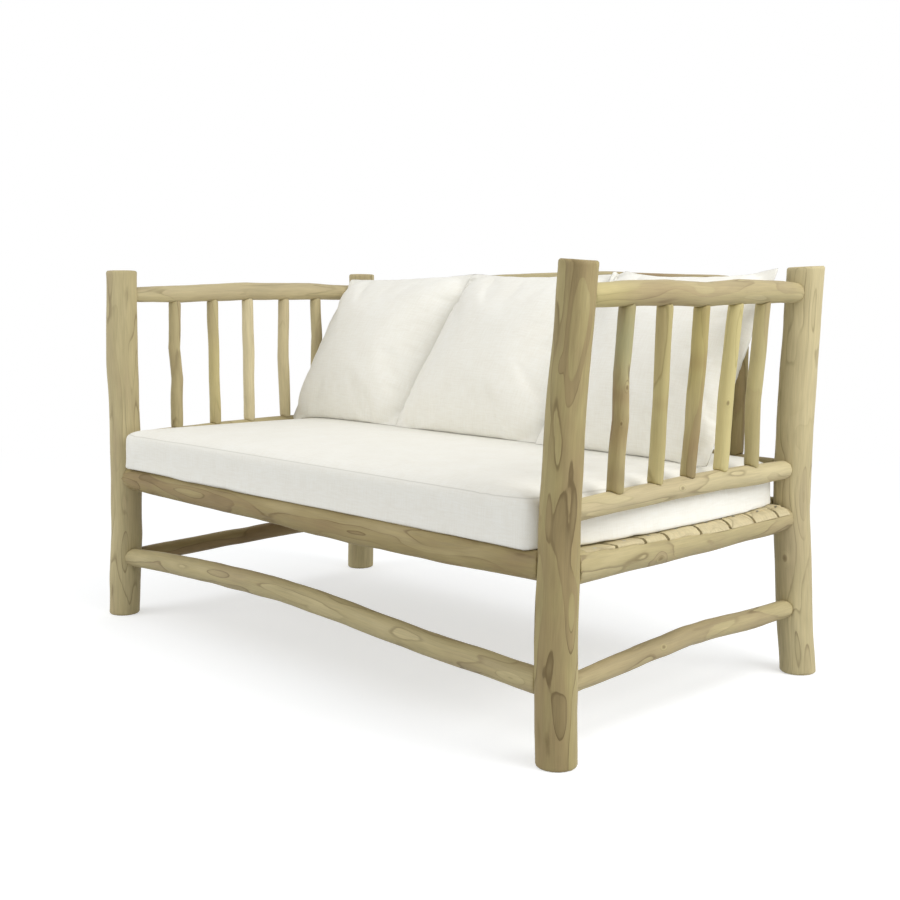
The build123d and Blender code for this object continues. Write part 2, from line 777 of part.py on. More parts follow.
for name in back_cushion_corner_shares:
    corners = pillow_corners(name)
    foot = pillow_foot(name, corners)
    with BuildPart() as pillow:
        for side in (1, -1):
            sections = []
            for size in pillow_sizes:
                depth = side * back_cushion_plump * swelling(size, pillow_sizes[-1])
                plane = Plane(origin=foot + facing * depth, x_dir=row_plane.x_dir, z_dir=facing)
                sections.append(pillow_outline(plane, scaled_corners(corners, size)))
            loft(sections, ruled=True)
    finish(pillow, name)
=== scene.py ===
# %% [markdown]
# A garden sofa made of peeled teak branches, with a long seat cushion and three loose back cushions.
# The construction comes in as a fixed frame: every log, slat and tenon is already at its real size.
# This lesson gives it its looks: sanded branch wood with growth rings and knots, and stuffed canvas.

# %% Load the frame
import math
import bmesh
import bpy
import numpy as np
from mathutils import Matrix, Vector, noise
from mathutils.bvhtree import BVHTree


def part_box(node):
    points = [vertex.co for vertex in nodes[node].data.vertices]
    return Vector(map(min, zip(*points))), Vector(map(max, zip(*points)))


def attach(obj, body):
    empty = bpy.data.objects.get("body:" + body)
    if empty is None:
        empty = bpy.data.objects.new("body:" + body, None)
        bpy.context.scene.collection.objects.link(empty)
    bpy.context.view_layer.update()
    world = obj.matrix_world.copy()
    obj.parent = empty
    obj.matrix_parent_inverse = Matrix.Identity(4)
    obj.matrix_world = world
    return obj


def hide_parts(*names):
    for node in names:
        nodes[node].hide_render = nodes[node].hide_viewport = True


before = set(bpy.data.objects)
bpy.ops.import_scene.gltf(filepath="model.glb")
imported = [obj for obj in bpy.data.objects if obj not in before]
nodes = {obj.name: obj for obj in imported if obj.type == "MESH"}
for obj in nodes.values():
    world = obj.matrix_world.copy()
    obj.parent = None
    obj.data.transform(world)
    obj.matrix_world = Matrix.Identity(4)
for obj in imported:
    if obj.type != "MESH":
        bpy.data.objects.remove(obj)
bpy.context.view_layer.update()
scene = bpy.context.scene
MM = 0.001
print(len(nodes), "nodes in the frame")

# %% [markdown]
# A photographer shot the sofa from its right front corner, a little above the arms. The camera stands
# where it stood, found from the feet and the tops of the four posts. The photograph is square, and its
# lens length is given in pixels, which a 36 mm wide sensor turns into millimetres.

# %% Camera
PHOTO_WIDTH_PX = 900
LENS_PX = 1254.7
SENSOR = 36.0
CAMERA_PLACE = Vector((2017.5, -1895.3, 776.4)) * MM
CAMERA_TURN = math.radians(45.98)
CAMERA_DIP = math.radians(7.1)

camera_data = bpy.data.cameras.new("camera")
camera_data.sensor_width = SENSOR
camera_data.lens = LENS_PX / PHOTO_WIDTH_PX * SENSOR
camera = bpy.data.objects.new("camera", camera_data)
camera.location = CAMERA_PLACE
camera.rotation_euler = (math.pi / 2 - CAMERA_DIP, 0, CAMERA_TURN)
scene.collection.objects.link(camera)
scene.camera = camera
print("lens", round(camera_data.lens, 2), "mm")

# %% [markdown]
# Materials and light are made of shader nodes. One small function adds a node, sets its properties,
# and fills its inputs with plain values or links. A colour ramp also takes its stops. Colours are
# written as they look on a screen, in sRGB hex, and a second function makes them linear.


# %% Nodes and colours
def add_node(tree, kind, inputs=None, stops=(), **settings):
    """Adds a node. An input takes a plain value, a socket, or a node, which gives its first live output."""
    node = tree.nodes.new("ShaderNode" + kind)
    for name, value in settings.items():
        setattr(node, name, value)
    if stops:
        elements = node.color_ramp.elements
        elements[0].position = stops[0][0]
        elements[1].position = stops[-1][0]
        for position, _ in stops[1:-1]:
            elements.new(position)
        for element, (_, value) in zip(elements, stops):
            element.color = value if isinstance(value, tuple) else (value, value, value, 1.0)
    for name, value in (inputs or {}).items():
        live = [socket for socket in node.inputs if socket.enabled and socket.name == name]
        socket = live[0] if live else node.inputs[name]
        if isinstance(value, bpy.types.Node):
            value = next(output for output in value.outputs if output.enabled)
        if isinstance(value, bpy.types.NodeSocket):
            tree.links.new(value, socket)
        else:
            socket.default_value = value
    return node


def colour(hex_value):
    """Linear RGBA of an sRGB hex colour such as "B5A57F"."""
    parts = [int(hex_value[k : k + 2], 16) / 255 for k in (0, 2, 4)]
    return (*(c / 12.92 if c <= 0.04045 else ((c + 0.055) / 1.055) ** 2.4 for c in parts), 1.0)


def new_material(name):
    """A material with an empty node tree."""
    material = bpy.data.materials.new(name)
    material.use_nodes = True
    material.node_tree.nodes.clear()
    return material, material.node_tree


print("white is", colour("FFFFFF"))

# %% [markdown]
# The studio is a white cyclorama under soft light. A large lamp at the upper right gives the logs their
# light side, one low on the right lights what the arm shades, a weaker one fills from the front left,
# and the white world lights the rest. Where the camera or a reflection looks past the sofa the world
# is pure white. The floor gets a glow that only the camera and reflections see. It lifts the floor
# towards white and keeps the soft shadow of the sofa. Further off the floor turns plain white, so that
# no horizon shows.

# %% Studio
WORLD_STRENGTH = 0.65
FLOOR_SIZE = 60.0
FLOOR_GLOW = 0.51
# Metres from the middle of the sofa at which the floor starts to turn white, and where it is white
WHITE_FROM = 1.6
WHITE_AT = 4.0
scene.view_settings.view_transform = "Standard"


def soft_lamp(name, place, aim, size, watts):
    """A square soft box that looks at a point."""
    lamp_data = bpy.data.lights.new(name, "AREA")
    lamp_data.size = size
    lamp_data.energy = watts
    lamp = bpy.data.objects.new(name, lamp_data)
    lamp.location = place
    lamp.rotation_euler = (Vector(aim) - Vector(place)).to_track_quat("-Z", "Y").to_euler()
    scene.collection.objects.link(lamp)


soft_lamp("key", (2.7, 0.5, 2.7), (0, 0, 0.3), 2.0, 62)
soft_lamp("side", (3.4, -0.4, 0.5), (0, 0, 0.4), 1.6, 12)
soft_lamp("fill", (-1.6, -3.0, 2.2), (0, 0, 0.3), 2.4, 38)


def seen_directly(tree):
    """One where the camera or a reflection looks."""
    rays = add_node(tree, "LightPath").outputs
    return add_node(tree, "Math", {0: rays["Is Camera Ray"], 1: rays["Is Glossy Ray"]}, operation="MAXIMUM")


world = bpy.data.worlds.new("studio")
world.use_nodes = True
scene.world = world
tree = world.node_tree
tree.nodes.clear()
strength = add_node(tree, "MapRange", {"Value": seen_directly(tree), "To Min": WORLD_STRENGTH, "To Max": 1.0})
background = add_node(tree, "Background", {"Color": colour("FFFFFF"), "Strength": strength})
add_node(tree, "OutputWorld", {"Surface": background})

bm = bmesh.new()
bmesh.ops.create_grid(bm, x_segments=1, y_segments=1, size=FLOOR_SIZE)
floor_mesh = bpy.data.meshes.new("floor")
bm.to_mesh(floor_mesh)
bm.free()
floor = bpy.data.objects.new("floor", floor_mesh)
scene.collection.objects.link(floor)

# Painted studio floor: matte, lifted towards white for the camera, and plain white far from the sofa
floor_paint, tree = new_material("painted_studio_floor")
matte = add_node(tree, "BsdfDiffuse", {"Color": colour("D2D4D6")})
glow = add_node(tree, "Emission", {"Strength": FLOOR_GLOW})
lifted = add_node(tree, "AddShader", {0: matte, 1: glow})
place = add_node(tree, "TexCoord").outputs["Object"]
away = add_node(tree, "VectorMath", {0: place}, operation="LENGTH").outputs["Value"]
far = add_node(tree, "MapRange", {"Value": away, "From Min": WHITE_FROM, "From Max": WHITE_AT})
paper = add_node(tree, "Emission", {"Strength": 1.0})
lifted = add_node(tree, "MixShader", {0: far, 1: lifted, 2: paper})
shown = add_node(tree, "MixShader", {0: seen_directly(tree), 1: matte, 2: lifted})
add_node(tree, "OutputMaterial", {"Surface": shown})
floor_mesh.materials.append(floor_paint)
print("studio with", len(bpy.data.lights), "lamps")

# %% [markdown]
# The wood is plantation teak: thin branches and small trunks, peeled and sanded but not oiled. Peeling
# cuts through the growth rings at a shallow angle, so a ring shows as a long thin contour line that
# wanders, closes into loops and bends round the knots.
# The pattern is made the way it grows. Each log carries its own coordinates, two across and one along
# its pith, and the rings are surfaces of equal distance from that pith, disturbed by slow noise. Knots
# and old swellings push the rings outwards.

# %% Teak: growth rings
RING_WIDTH_MM = 8.0
LOOP_DEPTH_MM = 30.0
RIPPLE_DEPTH_MM = 1.3
LINES_BLEACHED = 0.6
# Each pattern's width across the grain in millimetres, how many times longer it is along the grain,
# and how much finer detail it has
GRAIN_PATTERNS = {
    "loops": (38, 5.0, 0.8),
    "ripples": (10, 3.3, 2.0),
    "fading": (45, 4.0, 1.0),
    "patches": (60, 3.3, 3.0),
    "streaks": (6, 16.0, 3.0),
    "fibres": (1.8, 25.0, 3.0),
}

# Peeled plantation teak, sanded: pale olive khaki with thin dark ring lines and a dull, dry surface
teak, tree = new_material("sanded_teak_branch")
log = add_node(tree, "Attribute", attribute_name="log").outputs["Vector"]
marks = add_node(tree, "Attribute", attribute_name="marks").outputs["Vector"]
marks = add_node(tree, "SeparateXYZ", {0: marks})
push = marks.outputs["X"]
knot = marks.outputs["Y"]
bleach = marks.outputs["Z"]
grain = {}
for name, (width_mm, stretch, detail) in GRAIN_PATTERNS.items():
    place = add_node(tree, "VectorMath", {0: log, 1: (1, 1, 1 / stretch)}, operation="MULTIPLY")
    scale = 1 / (width_mm * MM)
    grain[name] = add_node(tree, "TexNoise", {"Vector": place, "Scale": scale, "Detail": detail})

across = add_node(tree, "VectorMath", {0: log, 1: (1 / MM, 1 / MM, 0)}, operation="MULTIPLY")
depth = add_node(tree, "VectorMath", {0: across}, operation="LENGTH")
for name, deep in (("loops", LOOP_DEPTH_MM), ("ripples", RIPPLE_DEPTH_MM)):
    depth = add_node(tree, "Math", {0: grain[name], 1: deep, 2: depth}, operation="MULTIPLY_ADD")
rings = add_node(tree, "Math", {0: depth, 1: RING_WIDTH_MM}, operation="DIVIDE")
rings = add_node(tree, "Math", {0: rings, 1: push}, operation="SUBTRACT")
part = add_node(tree, "Math", {0: rings}, operation="FRACT")
late_wood = ((0.0, 0.6), (0.03, 0.0), (0.55, 0.0), (0.86, 0.18), (0.955, 1.0), (0.98, 1.0), (1.0, 0.6))
line = add_node(tree, "ValToRGB", {0: part}, late_wood)
fading = add_node(tree, "ValToRGB", {0: grain["fading"]}, ((0.40, 0.12), (0.60, 1.0)))
lines = add_node(tree, "Math", {0: line, 1: fading}, operation="MULTIPLY")
kept = add_node(tree, "Math", {0: bleach, 1: -LINES_BLEACHED, 2: 1.0}, operation="MULTIPLY_ADD")
lines = add_node(tree, "Math", {0: lines, 1: kept}, operation="MULTIPLY")
print("rings every", RING_WIDTH_MM, "mm of depth")

# %% [markdown]
# Under the ring lines lie the wood's tones. Each band between two lines draws its own tone, and broad
# patches move it on towards brown or yellow. Each log is bleached by the sun by its own share. Fine
# fibres and streaks run along the grain. Stains and knots come from the logs' own attributes. Sanded
# teak has a low, broken gloss, and its fibres and rings can just be felt, which a faint bump gives.

# %% Teak: tones and surface
BAND_SHARE = 0.26
PATCH_SHARE = 0.90
LINE_SHARE = 0.62
LINE_DEPTH = 0.8
GROUND_TONES = (
    (0.25, colour("83734E")),
    (0.45, colour("9A8860")),
    (0.62, colour("A39567")),
    (0.80, colour("B2A477")),
)
STAIN_TONES = {"X": "C4B86E", "Y": "7E5C3C", "Z": "9CA07C"}

band = add_node(tree, "Math", {0: rings}, operation="FLOOR")
band_tone = add_node(tree, "TexWhiteNoise", {"W": band}, noise_dimensions="1D")
band_tone = add_node(tree, "Math", {0: band_tone, 1: BAND_SHARE}, operation="MULTIPLY")
tone = add_node(tree, "Math", {0: grain["patches"], 1: PATCH_SHARE, 2: band_tone}, operation="MULTIPLY_ADD")
ground = add_node(tree, "ValToRGB", {0: tone}, GROUND_TONES)
fine = add_node(tree, "Math", {0: grain["fibres"], 1: grain["streaks"]}, operation="ADD")
fine = add_node(tree, "Math", {0: fine, 1: 0.5}, operation="MULTIPLY")
shade = add_node(tree, "ValToRGB", {0: fine}, ((0.32, 0.84), (0.5, 0.97), (0.68, 1.08)))
wood = add_node(tree, "Mix", {"Factor": bleach, "A": ground, "B": colour("DCCFA8")}, data_type="RGBA")
wood = add_node(tree, "Mix", {"Factor": 1.0, "A": wood, "B": shade}, data_type="RGBA", blend_type="MULTIPLY")
share = add_node(tree, "Math", {0: lines, 1: LINE_SHARE}, operation="MULTIPLY")
wood = add_node(tree, "Mix", {"Factor": share, "A": wood, "B": colour("5E4C2C")}, data_type="RGBA")
stain = add_node(tree, "Attribute", attribute_name="stain").outputs["Vector"]
stain = add_node(tree, "SeparateXYZ", {0: stain})
for axis, tint in STAIN_TONES.items():
    share = stain.outputs[axis]
    wood = add_node(tree, "Mix", {"Factor": share, "A": wood, "B": colour(tint)}, data_type="RGBA")
heart = add_node(tree, "ValToRGB", {0: knot}, ((0.0, 0.0), (0.62, 0.0), (0.85, 0.45), (1.0, 0.65)))
wood = add_node(tree, "Mix", {"Factor": heart, "A": wood, "B": colour("66502F")}, data_type="RGBA")

height = add_node(tree, "Math", {0: lines, 1: -LINE_DEPTH, 2: grain["fibres"]}, operation="MULTIPLY_ADD")
bump = add_node(tree, "Bump", {"Height": height, "Strength": 0.25, "Distance": 0.3 * MM})
rough = add_node(tree, "ValToRGB", {0: grain["streaks"]}, ((0.3, 0.52), (0.7, 0.68)))
sanded = {"Base Color": wood, "Roughness": rough, "Normal": bump, "IOR": 1.5, "Specular IOR Level": 0.3}
add_node(tree, "OutputMaterial", {"Surface": add_node(tree, "BsdfPrincipled", sanded)})
print("teak has", len(tree.nodes), "nodes")

# %% [markdown]
# No branch is straight or round. The frame's logs have their real bends, but their skin is still too
# even. All wood is bent by one slow field of small shifts, in place of noise along each surface:
# pieces that touch shift alike, so every scribed joint stays tight. Its upward part fades to nothing
# at the floor, where the sawn feet stand flat.

# %% Crookedness
WAVE_MM = (85.0, 26.0)
SHIFT_MM = (1.7, 0.25)
FOOT_FADE_MM = 40.0
# Left alone, this noise takes another seed from the clock in each run
WAVE_SEED = 7
noise.seed_set(WAVE_SEED)


def crooked(point):
    """A point of the wood after the slow and the quick shift."""
    shift = Vector()
    for wave, size in zip(WAVE_MM, SHIFT_MM):
        shift += noise.noise_vector(point / (wave * MM), noise_basis="PERLIN_ORIGINAL") * (size * MM)
    shift.z *= min(1.0, max(0.0, point.z / (FOOT_FADE_MM * MM)))
    return point + shift


print("the top of a post shifts by", [round(x / MM, 1) for x in crooked(Vector((0.7, -0.38, 0.83)))])

# %% [markdown]
# The pith is found from the frame's own logs: cut a log into short lengths, and join their middles
# with a smooth line. The pith of a real branch isn't in its middle, so it is moved to one side by a
# share of the radius, which makes the rings wider on the other side.

# %% Pith and log coordinates
SLICE_MM = 30.0
PITH_SHARE = 0.24
PITH_TURN_PER_METRE = 1.6
SEED_TURN = 2.4
SEED_SHIFT = 3.7
PITH_PASSES = 3
EASING_PASSES = 8


def eased(line, passes):
    """Values along a line averaged with their neighbours, apart from both ends."""
    line = line.copy()
    for _ in range(passes):
        line[1:-1] = (line[:-2] + line[1:-1] * 2 + line[2:]) / 4
    return line


def pith_line(points, axis):
    """Middles of short lengths of a log, as (places along, middles, the two other axes)."""
    along = points[:, axis]
    low = along.min()
    count = max(4, int((along.max() - low) / (SLICE_MM * MM)))
    edges = np.linspace(low, along.max(), count + 1)
    others = [k for k in range(3) if k != axis]
    places = []
    middles = []
    for first, last in zip(edges[:-1], edges[1:]):
        inside = points[(along >= first) & (along <= last)][:, others]
        places.append((first + last) / 2)
        middles.append((inside.max(0) + inside.min(0)) / 2)
    return np.array(places), eased(np.array(middles), PITH_PASSES), others


def log_coordinates(points, axis, seed):
    """Two places across from the pith and one along it for each point, the offset across, the radius."""
    places, middles, others = pith_line(points, axis)
    along = points[:, axis]
    centre = np.stack([np.interp(along, places, middles[:, k]) for k in (0, 1)], 1)
    across = points[:, others] - centre
    radius = float(np.median(np.linalg.norm(across, axis=1)))
    turn = seed * SEED_TURN + (along - along.min()) * PITH_TURN_PER_METRE
    offset = np.stack([np.cos(turn), np.sin(turn)], 1) * radius * PITH_SHARE
    coordinates = np.column_stack([across - offset, along + seed * SEED_SHIFT])
    return coordinates, across, radius


def eased_bends(points, axis):
    """How far each point moves across when the kinks between a log's straight runs are eased."""
    places, middles, others = pith_line(points, axis)
    moves = eased(middles, EASING_PASSES) - middles
    return np.stack([np.interp(points[:, axis], places, moves[:, k]) for k in (0, 1)], 1)


# %% [markdown]
# Knots are where side branches grew: a low swelling with a dark heart and rings round it. A stump that
# was overgrown long ago leaves only long nested loops in the rings. Each is given by its log, its share
# of the length, the side it looks to in degrees, and its size in millimetres. A few pieces have stains.

# %% Knots, loops and stains
# Share of the length, side, and half the width of each knot
KNOTS = {
    "post_front_left": ((0.42, 100, 9), (0.80, 140, 10)),
    "post_back_right": ((0.293, -84, 8), (0.78, 120, 9)),
    "post_back_left": ((0.35, 60, 10), (0.7, 20, 10)),
    "seat_rail_right": ((0.33, -12, 9),),
    "seat_rail_back": ((0.3, 90, 12), (0.66, 60, 10)),
    "seat_rail_left": ((0.5, 170, 11),),
    "arm_top_rail_right": ((0.85, 150, 9),),
    "arm_top_rail_left": ((0.3, 170, 10),),
    "arm_low_rail_right": ((0.43, 10, 6),),
    "back_top_rail": ((0.25, 40, 10), (0.60, 30, 10)),
    "back_low_rail": ((0.4, 10, 9), (0.8, 20, 10)),
    "stretcher_right": ((0.36, 20, 6),),
    "spindle_right_1": ((0.38, -40, 4), (0.56, -10, 4)),
    "spindle_right_4": ((0.42, -40, 5),),
}
# Share of the length, side, half the width, half the length, and how many rings it pushes
LOOPS = {
    "post_front_right": (
        (0.855, -38, 16, 95, 2.4),
        (0.80, -76, 5, 16, 1.0),
        (0.33, -10, 13, 62, 2.4),
        (0.12, -40, 14, 40, 1.6),
        (0.55, -85, 9, 90, 1.2),
    ),
    "post_back_right": (
        (0.45, -20, 11, 70, 2.0),
        (0.60, -46, 20, 40, 1.5),
        (0.90, -25, 9, 60, 1.4),
        (0.1, -60, 12, 70, 1.4),
    ),
    "post_front_left": ((0.60, -50, 14, 120, 1.6), (0.20, -30, 12, 80, 1.8)),
    "arm_top_rail_right": ((0.46, 10, 9, 34, 1.3),),
    "seat_rail_right": ((0.33, -12, 18, 38, 1.2),),
    "stretcher_front": ((0.955, 180, 11, 40, 1.8), (0.30, 160, 10, 70, 1.3)),
    "seat_rail_front": ((0.62, 180, 13, 120, 1.8), (0.25, 170, 12, 140, 1.4)),
    "arm_low_rail_right": ((0.18, 10, 10, 60, 1.2),),
}
# Share of the length, reach, and shares of yellow, brown and green
STAINS = {
    "spindle_right_4": ((0.5, 2.0, 0.45, 0, 0),),
    "spindle_right_1": (
        (0.80, 0.18, 0, 0, 0.42),
        (0.52, 0.05, 0, 0.35, 0),
        (0.33, 0.10, 0, 0.30, 0),
        (0.12, 0.05, 0, 0.25, 0.1),
    ),
    "spindle_right_2": ((0.5, 2.0, 0.22, 0, 0), (0.45, 0.04, 0, 0.14, 0)),
    "spindle_right_3": (
        (0.8, 0.3, 0.35, 0, 0),
        (0.66, 0.05, 0, 0.22, 0),
        (0.2, 0.06, 0, 0.18, 0),
    ),
    "spindle_right_5": ((0.2, 0.9, 0.20, 0, 0.10), (0.99, 0.02, 0, 0.5, 0)),
    "spindle_left_2": ((0.4, 0.5, 0.30, 0, 0),),
    "stretcher_left": ((0.5, 2.0, 0, 0.30, 0),),
    "seat_rail_front": ((0.5, 2.0, 0, 0.18, 0),),
    "back_top_rail": ((0.74, 0.05, 0, 0.5, 0), (0.12, 0.03, 0, 0.5, 0)),
    "arm_top_rail_right": ((0.05, 0.12, 0.30, 0, 0), (0.30, 0.16, 0, 0.22, 0)),
}
# How far the sun has bleached each log
BLEACH = {
    "post_back_right": 0.42, "post_front_left": 0.34, "post_back_left": 0.35, "arm_top_rail_right": 0.26,
    "arm_low_rail_right": 0.50, "arm_top_rail_left": 0.50, "arm_low_rail_left": 0.35, "stretcher_right": 0.26,
    "stretcher_front": 0.26, "seat_rail_right": 0.22, "back_top_rail": 0.30, "back_low_rail": 0.2,
    "spindle_left_1": 0.3, "spindle_left_2": 0.4, "spindle_left_3": 0.9, "spindle_left_4": 0.6,
    "spindle_left_5": 0.4, "spindle_right_2": 0.14, "spindle_right_3": 0.0, "spindle_right_4": 0.5,
    "spindle_right_5": 0.15,
}
KNOT_STRETCH = 1.7
KNOT_RINGS = 1.7


def spot(across, along, length, radius, place, side, half_width, half_length):
    """A soft round or long spot on a log's skin, from 0 to 1."""
    angle = np.arctan2(across[:, 1], across[:, 0])
    turn = np.angle(np.exp(1j * (angle - math.radians(side)))) * radius / (half_width * MM)
    away = (along - place) * length / (half_length * MM)
    return np.exp(-(turn**2) - away**2)


def mark_fields(name, across, along, length, radius):
    """Rings pushed out, knots and bleaching at each point, and yellow, brown and green stains."""
    push = np.zeros(len(along))
    knots = np.zeros(len(along))
    for place, side, size in KNOTS.get(name, ()):
        knots = np.maximum(knots, spot(across, along, length, radius, place, side, size, size * KNOT_STRETCH))
    for place, side, half_width, half_length, strength in LOOPS.get(name, ()):
        push += spot(across, along, length, radius, place, side, half_width, half_length) * strength
    bleach = np.full(len(along), BLEACH.get(name, 0.0))
    stains = np.zeros((len(along), 3))
    for place, reach, *tint in STAINS.get(name, ()):
        stains += np.exp(-(((along - place) / reach) ** 2))[:, None] * np.array(tint)
    return np.column_stack([push + knots * KNOT_RINGS, knots, bleach]), stains


# %% [markdown]
# Every piece is made in the same few steps: copy the node's mesh, which comes as loose triangles, join
# its points, work on them as one array, put it back, and hand the piece to the body it rides on.


# %% Pieces and points
def new_piece(name, mesh, body, slot, material, *replaced):
    """An object in the scene that rides on a body, takes a material and stands for nodes of the frame."""
    piece = bpy.data.objects.new(name, mesh)
    scene.collection.objects.link(piece)
    mesh.materials.clear()
    mesh.materials.append(material)
    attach(piece, body)
    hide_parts(*replaced)
    return piece


def merged_copy(name):
    """A copy of a node's mesh with its loose triangles joined."""
    mesh = nodes[name].data.copy()
    bm = bmesh.new()
    bm.from_mesh(mesh)
    bmesh.ops.remove_doubles(bm, verts=bm.verts, dist=0.02 * MM)
    bm.to_mesh(mesh)
    bm.free()
    return mesh


def finished_mesh(piece):
    """The piece's mesh with its modifiers applied."""
    depsgraph = bpy.context.evaluated_depsgraph_get()
    mesh = bpy.data.meshes.new_from_object(piece.evaluated_get(depsgraph))
    piece.modifiers.clear()
    piece.data = mesh
    return mesh


def remeshed(piece, voxel_mm, passes):
    """Gives the piece an even skin of small faces and smooths it."""
    skin = piece.modifiers.new("skin", "REMESH")
    skin.mode = "VOXEL"
    skin.voxel_size = voxel_mm * MM
    sanding = piece.modifiers.new("sanding", "SMOOTH")
    sanding.factor = 0.5
    sanding.iterations = passes
    return finished_mesh(piece)


def set_attribute(mesh, name, values):
    """A number or a vector for every vertex."""
    kind, key = ("FLOAT", "value") if values.ndim == 1 else ("FLOAT_VECTOR", "vector")
    attribute = mesh.attributes.new(name, kind, "POINT")
    attribute.data.foreach_set(key, values.astype(np.float32).ravel())


def points_of(mesh):
    """The vertices' places as one array."""
    points = np.zeros(len(mesh.vertices) * 3)
    mesh.vertices.foreach_get("co", points)
    return points.reshape(-1, 3)


def place_points(mesh, points, smooth=True):
    """Puts the vertices at these places."""
    mesh.vertices.foreach_set("co", points.ravel())
    mesh.polygons.foreach_set("use_smooth", [smooth] * len(mesh.polygons))
    mesh.update()


# %% [markdown]
# A log starts as a copy of its solid. A voxel remesh gives it an even skin of small faces, smoothing
# sands away the flats and rounds the sawn edges, and then it gets its crookedness, its knots and its
# coordinates. This keeps the scribed shoulders, which would be hard to model again. The posts' sawn
# ends get their edges back from the solid, and the sawn tops of three posts are tilted a little.

# %% Logs
VOXEL_MM = {"post": 3.4, "rail": 3.2, "spindle": 2.6}
SANDING_PASSES = 6
KNOT_RISE_MM = 1.6
POST_TOP_MM = 830.0
TILT_REACH_MM = 30.0
SHARP_END_MM = 9.0
# The slopes of a sawn top to the right and to the back
TOP_TILTS = {
    "post_front_right": (-0.09, -0.01),
    "post_back_right": (0.02, 0.02),
    "post_front_left": (0.02, -0.03),
}


def tree_of(piece):
    """A search tree over the finished mesh of a piece."""
    points = [Vector(point) for point in points_of(piece.data)]
    return BVHTree.FromPolygons(points, [tuple(face.vertices) for face in piece.data.polygons])


def sharpen_ends(points, solid):
    """Puts a post's sawn ends back on the solid, which the sanding had rounded."""
    near_end = (points[:, 2] > (POST_TOP_MM - SHARP_END_MM) * MM) | (points[:, 2] < SHARP_END_MM * MM)
    for k in np.flatnonzero(near_end):
        points[k] = solid.find_nearest(Vector(points[k]))[0]


def tilt_top(name, points):
    """Tilts the sawn rim of a post."""
    slope_x, slope_y = TOP_TILTS[name]
    middle = points[points[:, 2] > (POST_TOP_MM - TILT_REACH_MM) * MM].mean(0)
    nearness = np.clip((points[:, 2] / MM - POST_TOP_MM) / TILT_REACH_MM + 1, 0, 1)
    points[:, 2] += nearness * ((points[:, 0] - middle[0]) * slope_x + (points[:, 1] - middle[1]) * slope_y)


def dress_log(name, seed):
    """The sanded skin of one log."""
    kind = name.split("_")[0] if name.startswith(("post", "spindle")) else "rail"
    piece = new_piece(name + "_skin", merged_copy(name), "frame", "teak", teak, name)
    solid = tree_of(piece)
    mesh = remeshed(piece, VOXEL_MM[kind], SANDING_PASSES)
    points = points_of(mesh)
    if kind == "post":
        sharpen_ends(points, solid)
    axis = int(np.argmax(points.max(0) - points.min(0)))
    low = points[:, axis].min()
    length = points[:, axis].max() - low
    coordinates, across, radius = log_coordinates(points, axis, seed)
    marks, stains = mark_fields(name, across, (points[:, axis] - low) / length, length, radius)
    outward = across / np.maximum(np.linalg.norm(across, axis=1), 1e-6)[:, None]
    others = [k for k in range(3) if k != axis]
    points[:, others] += outward * (marks[:, 1] * KNOT_RISE_MM * MM)[:, None]
    if kind == "spindle" or name.startswith("stretcher"):
        points[:, others] += eased_bends(points, axis)
    if name in TOP_TILTS:
        tilt_top(name, points)
    place_points(mesh, np.array([crooked(Vector(point)) for point in points]))
    set_attribute(mesh, "log", coordinates)
    set_attribute(mesh, "marks", marks)
    set_attribute(mesh, "stain", stains)
    return piece


cushion_names = [name for name in sorted(nodes) if "cushion" in name]
slat_names = [name for name in sorted(nodes) if name.startswith("deck_slat")]
log_names = [name for name in sorted(nodes) if name not in cushion_names + slat_names + ["deck_screws"]]
logs = {name: dress_log(name, seed) for seed, name in enumerate(log_names)}
print(len(logs), "logs", sum(len(log.data.polygons) for log in logs.values()), "faces")

# %% [markdown]
# The deck slats are sawn from the same teak. A sawn face cuts the rings flat, so their lines run long
# and close into arches: the pith lies outside the board, under it. The slats are cut across every few
# millimetres, so that they can follow the crooked rails.

# %% Slats
SLAT_CUT_MM = 12.0
PITH_BELOW_MM = 55.0
SLAT_RING_SHARE = 0.35
SLAT_BLEACH = 0.70


def dress_slat(name, seed):
    """One sawn board, shifted with the logs that it lies on."""
    piece = new_piece(name + "_board", merged_copy(name), "frame", "teak", teak, name)
    mesh = piece.data
    low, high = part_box(name)
    bm = bmesh.new()
    bm.from_mesh(mesh)
    for k in range(1, int((high.x - low.x) / (SLAT_CUT_MM * MM))):
        cut = Vector((low.x + k * SLAT_CUT_MM * MM, 0, 0))
        whole = bm.verts[:] + bm.edges[:] + bm.faces[:]
        bmesh.ops.bisect_plane(bm, geom=whole, plane_co=cut, plane_no=(1, 0, 0))
    bm.to_mesh(mesh)
    bm.free()
    points = points_of(mesh)
    middle = (low + high) / 2
    across = np.column_stack([points[:, 1] - middle.y, points[:, 2] - middle.z + PITH_BELOW_MM * MM])
    set_attribute(mesh, "log", np.column_stack([across * SLAT_RING_SHARE, points[:, 0] + seed * SEED_SHIFT]))
    set_attribute(mesh, "marks", np.tile((0.0, 0.0, SLAT_BLEACH), (len(points), 1)))
    set_attribute(mesh, "stain", np.zeros((len(points), 3)))
    place_points(mesh, np.array([crooked(Vector(point)) for point in points]), smooth=False)
    return piece


slats = {name: dress_slat(name, seed) for seed, name in enumerate(slat_names)}
print(len(slats), "slats", sum(len(slat.data.polygons) for slat in slats.values()), "faces")

# %% [markdown]
# Stainless screws hold the slats. Their heads lie flush, so each screw shifts in one piece with the
# wood round it. Turned steel has fine rings and a soft gloss, and keeps no colour of its own.

# %% Screws
TURNING_MM = 0.9

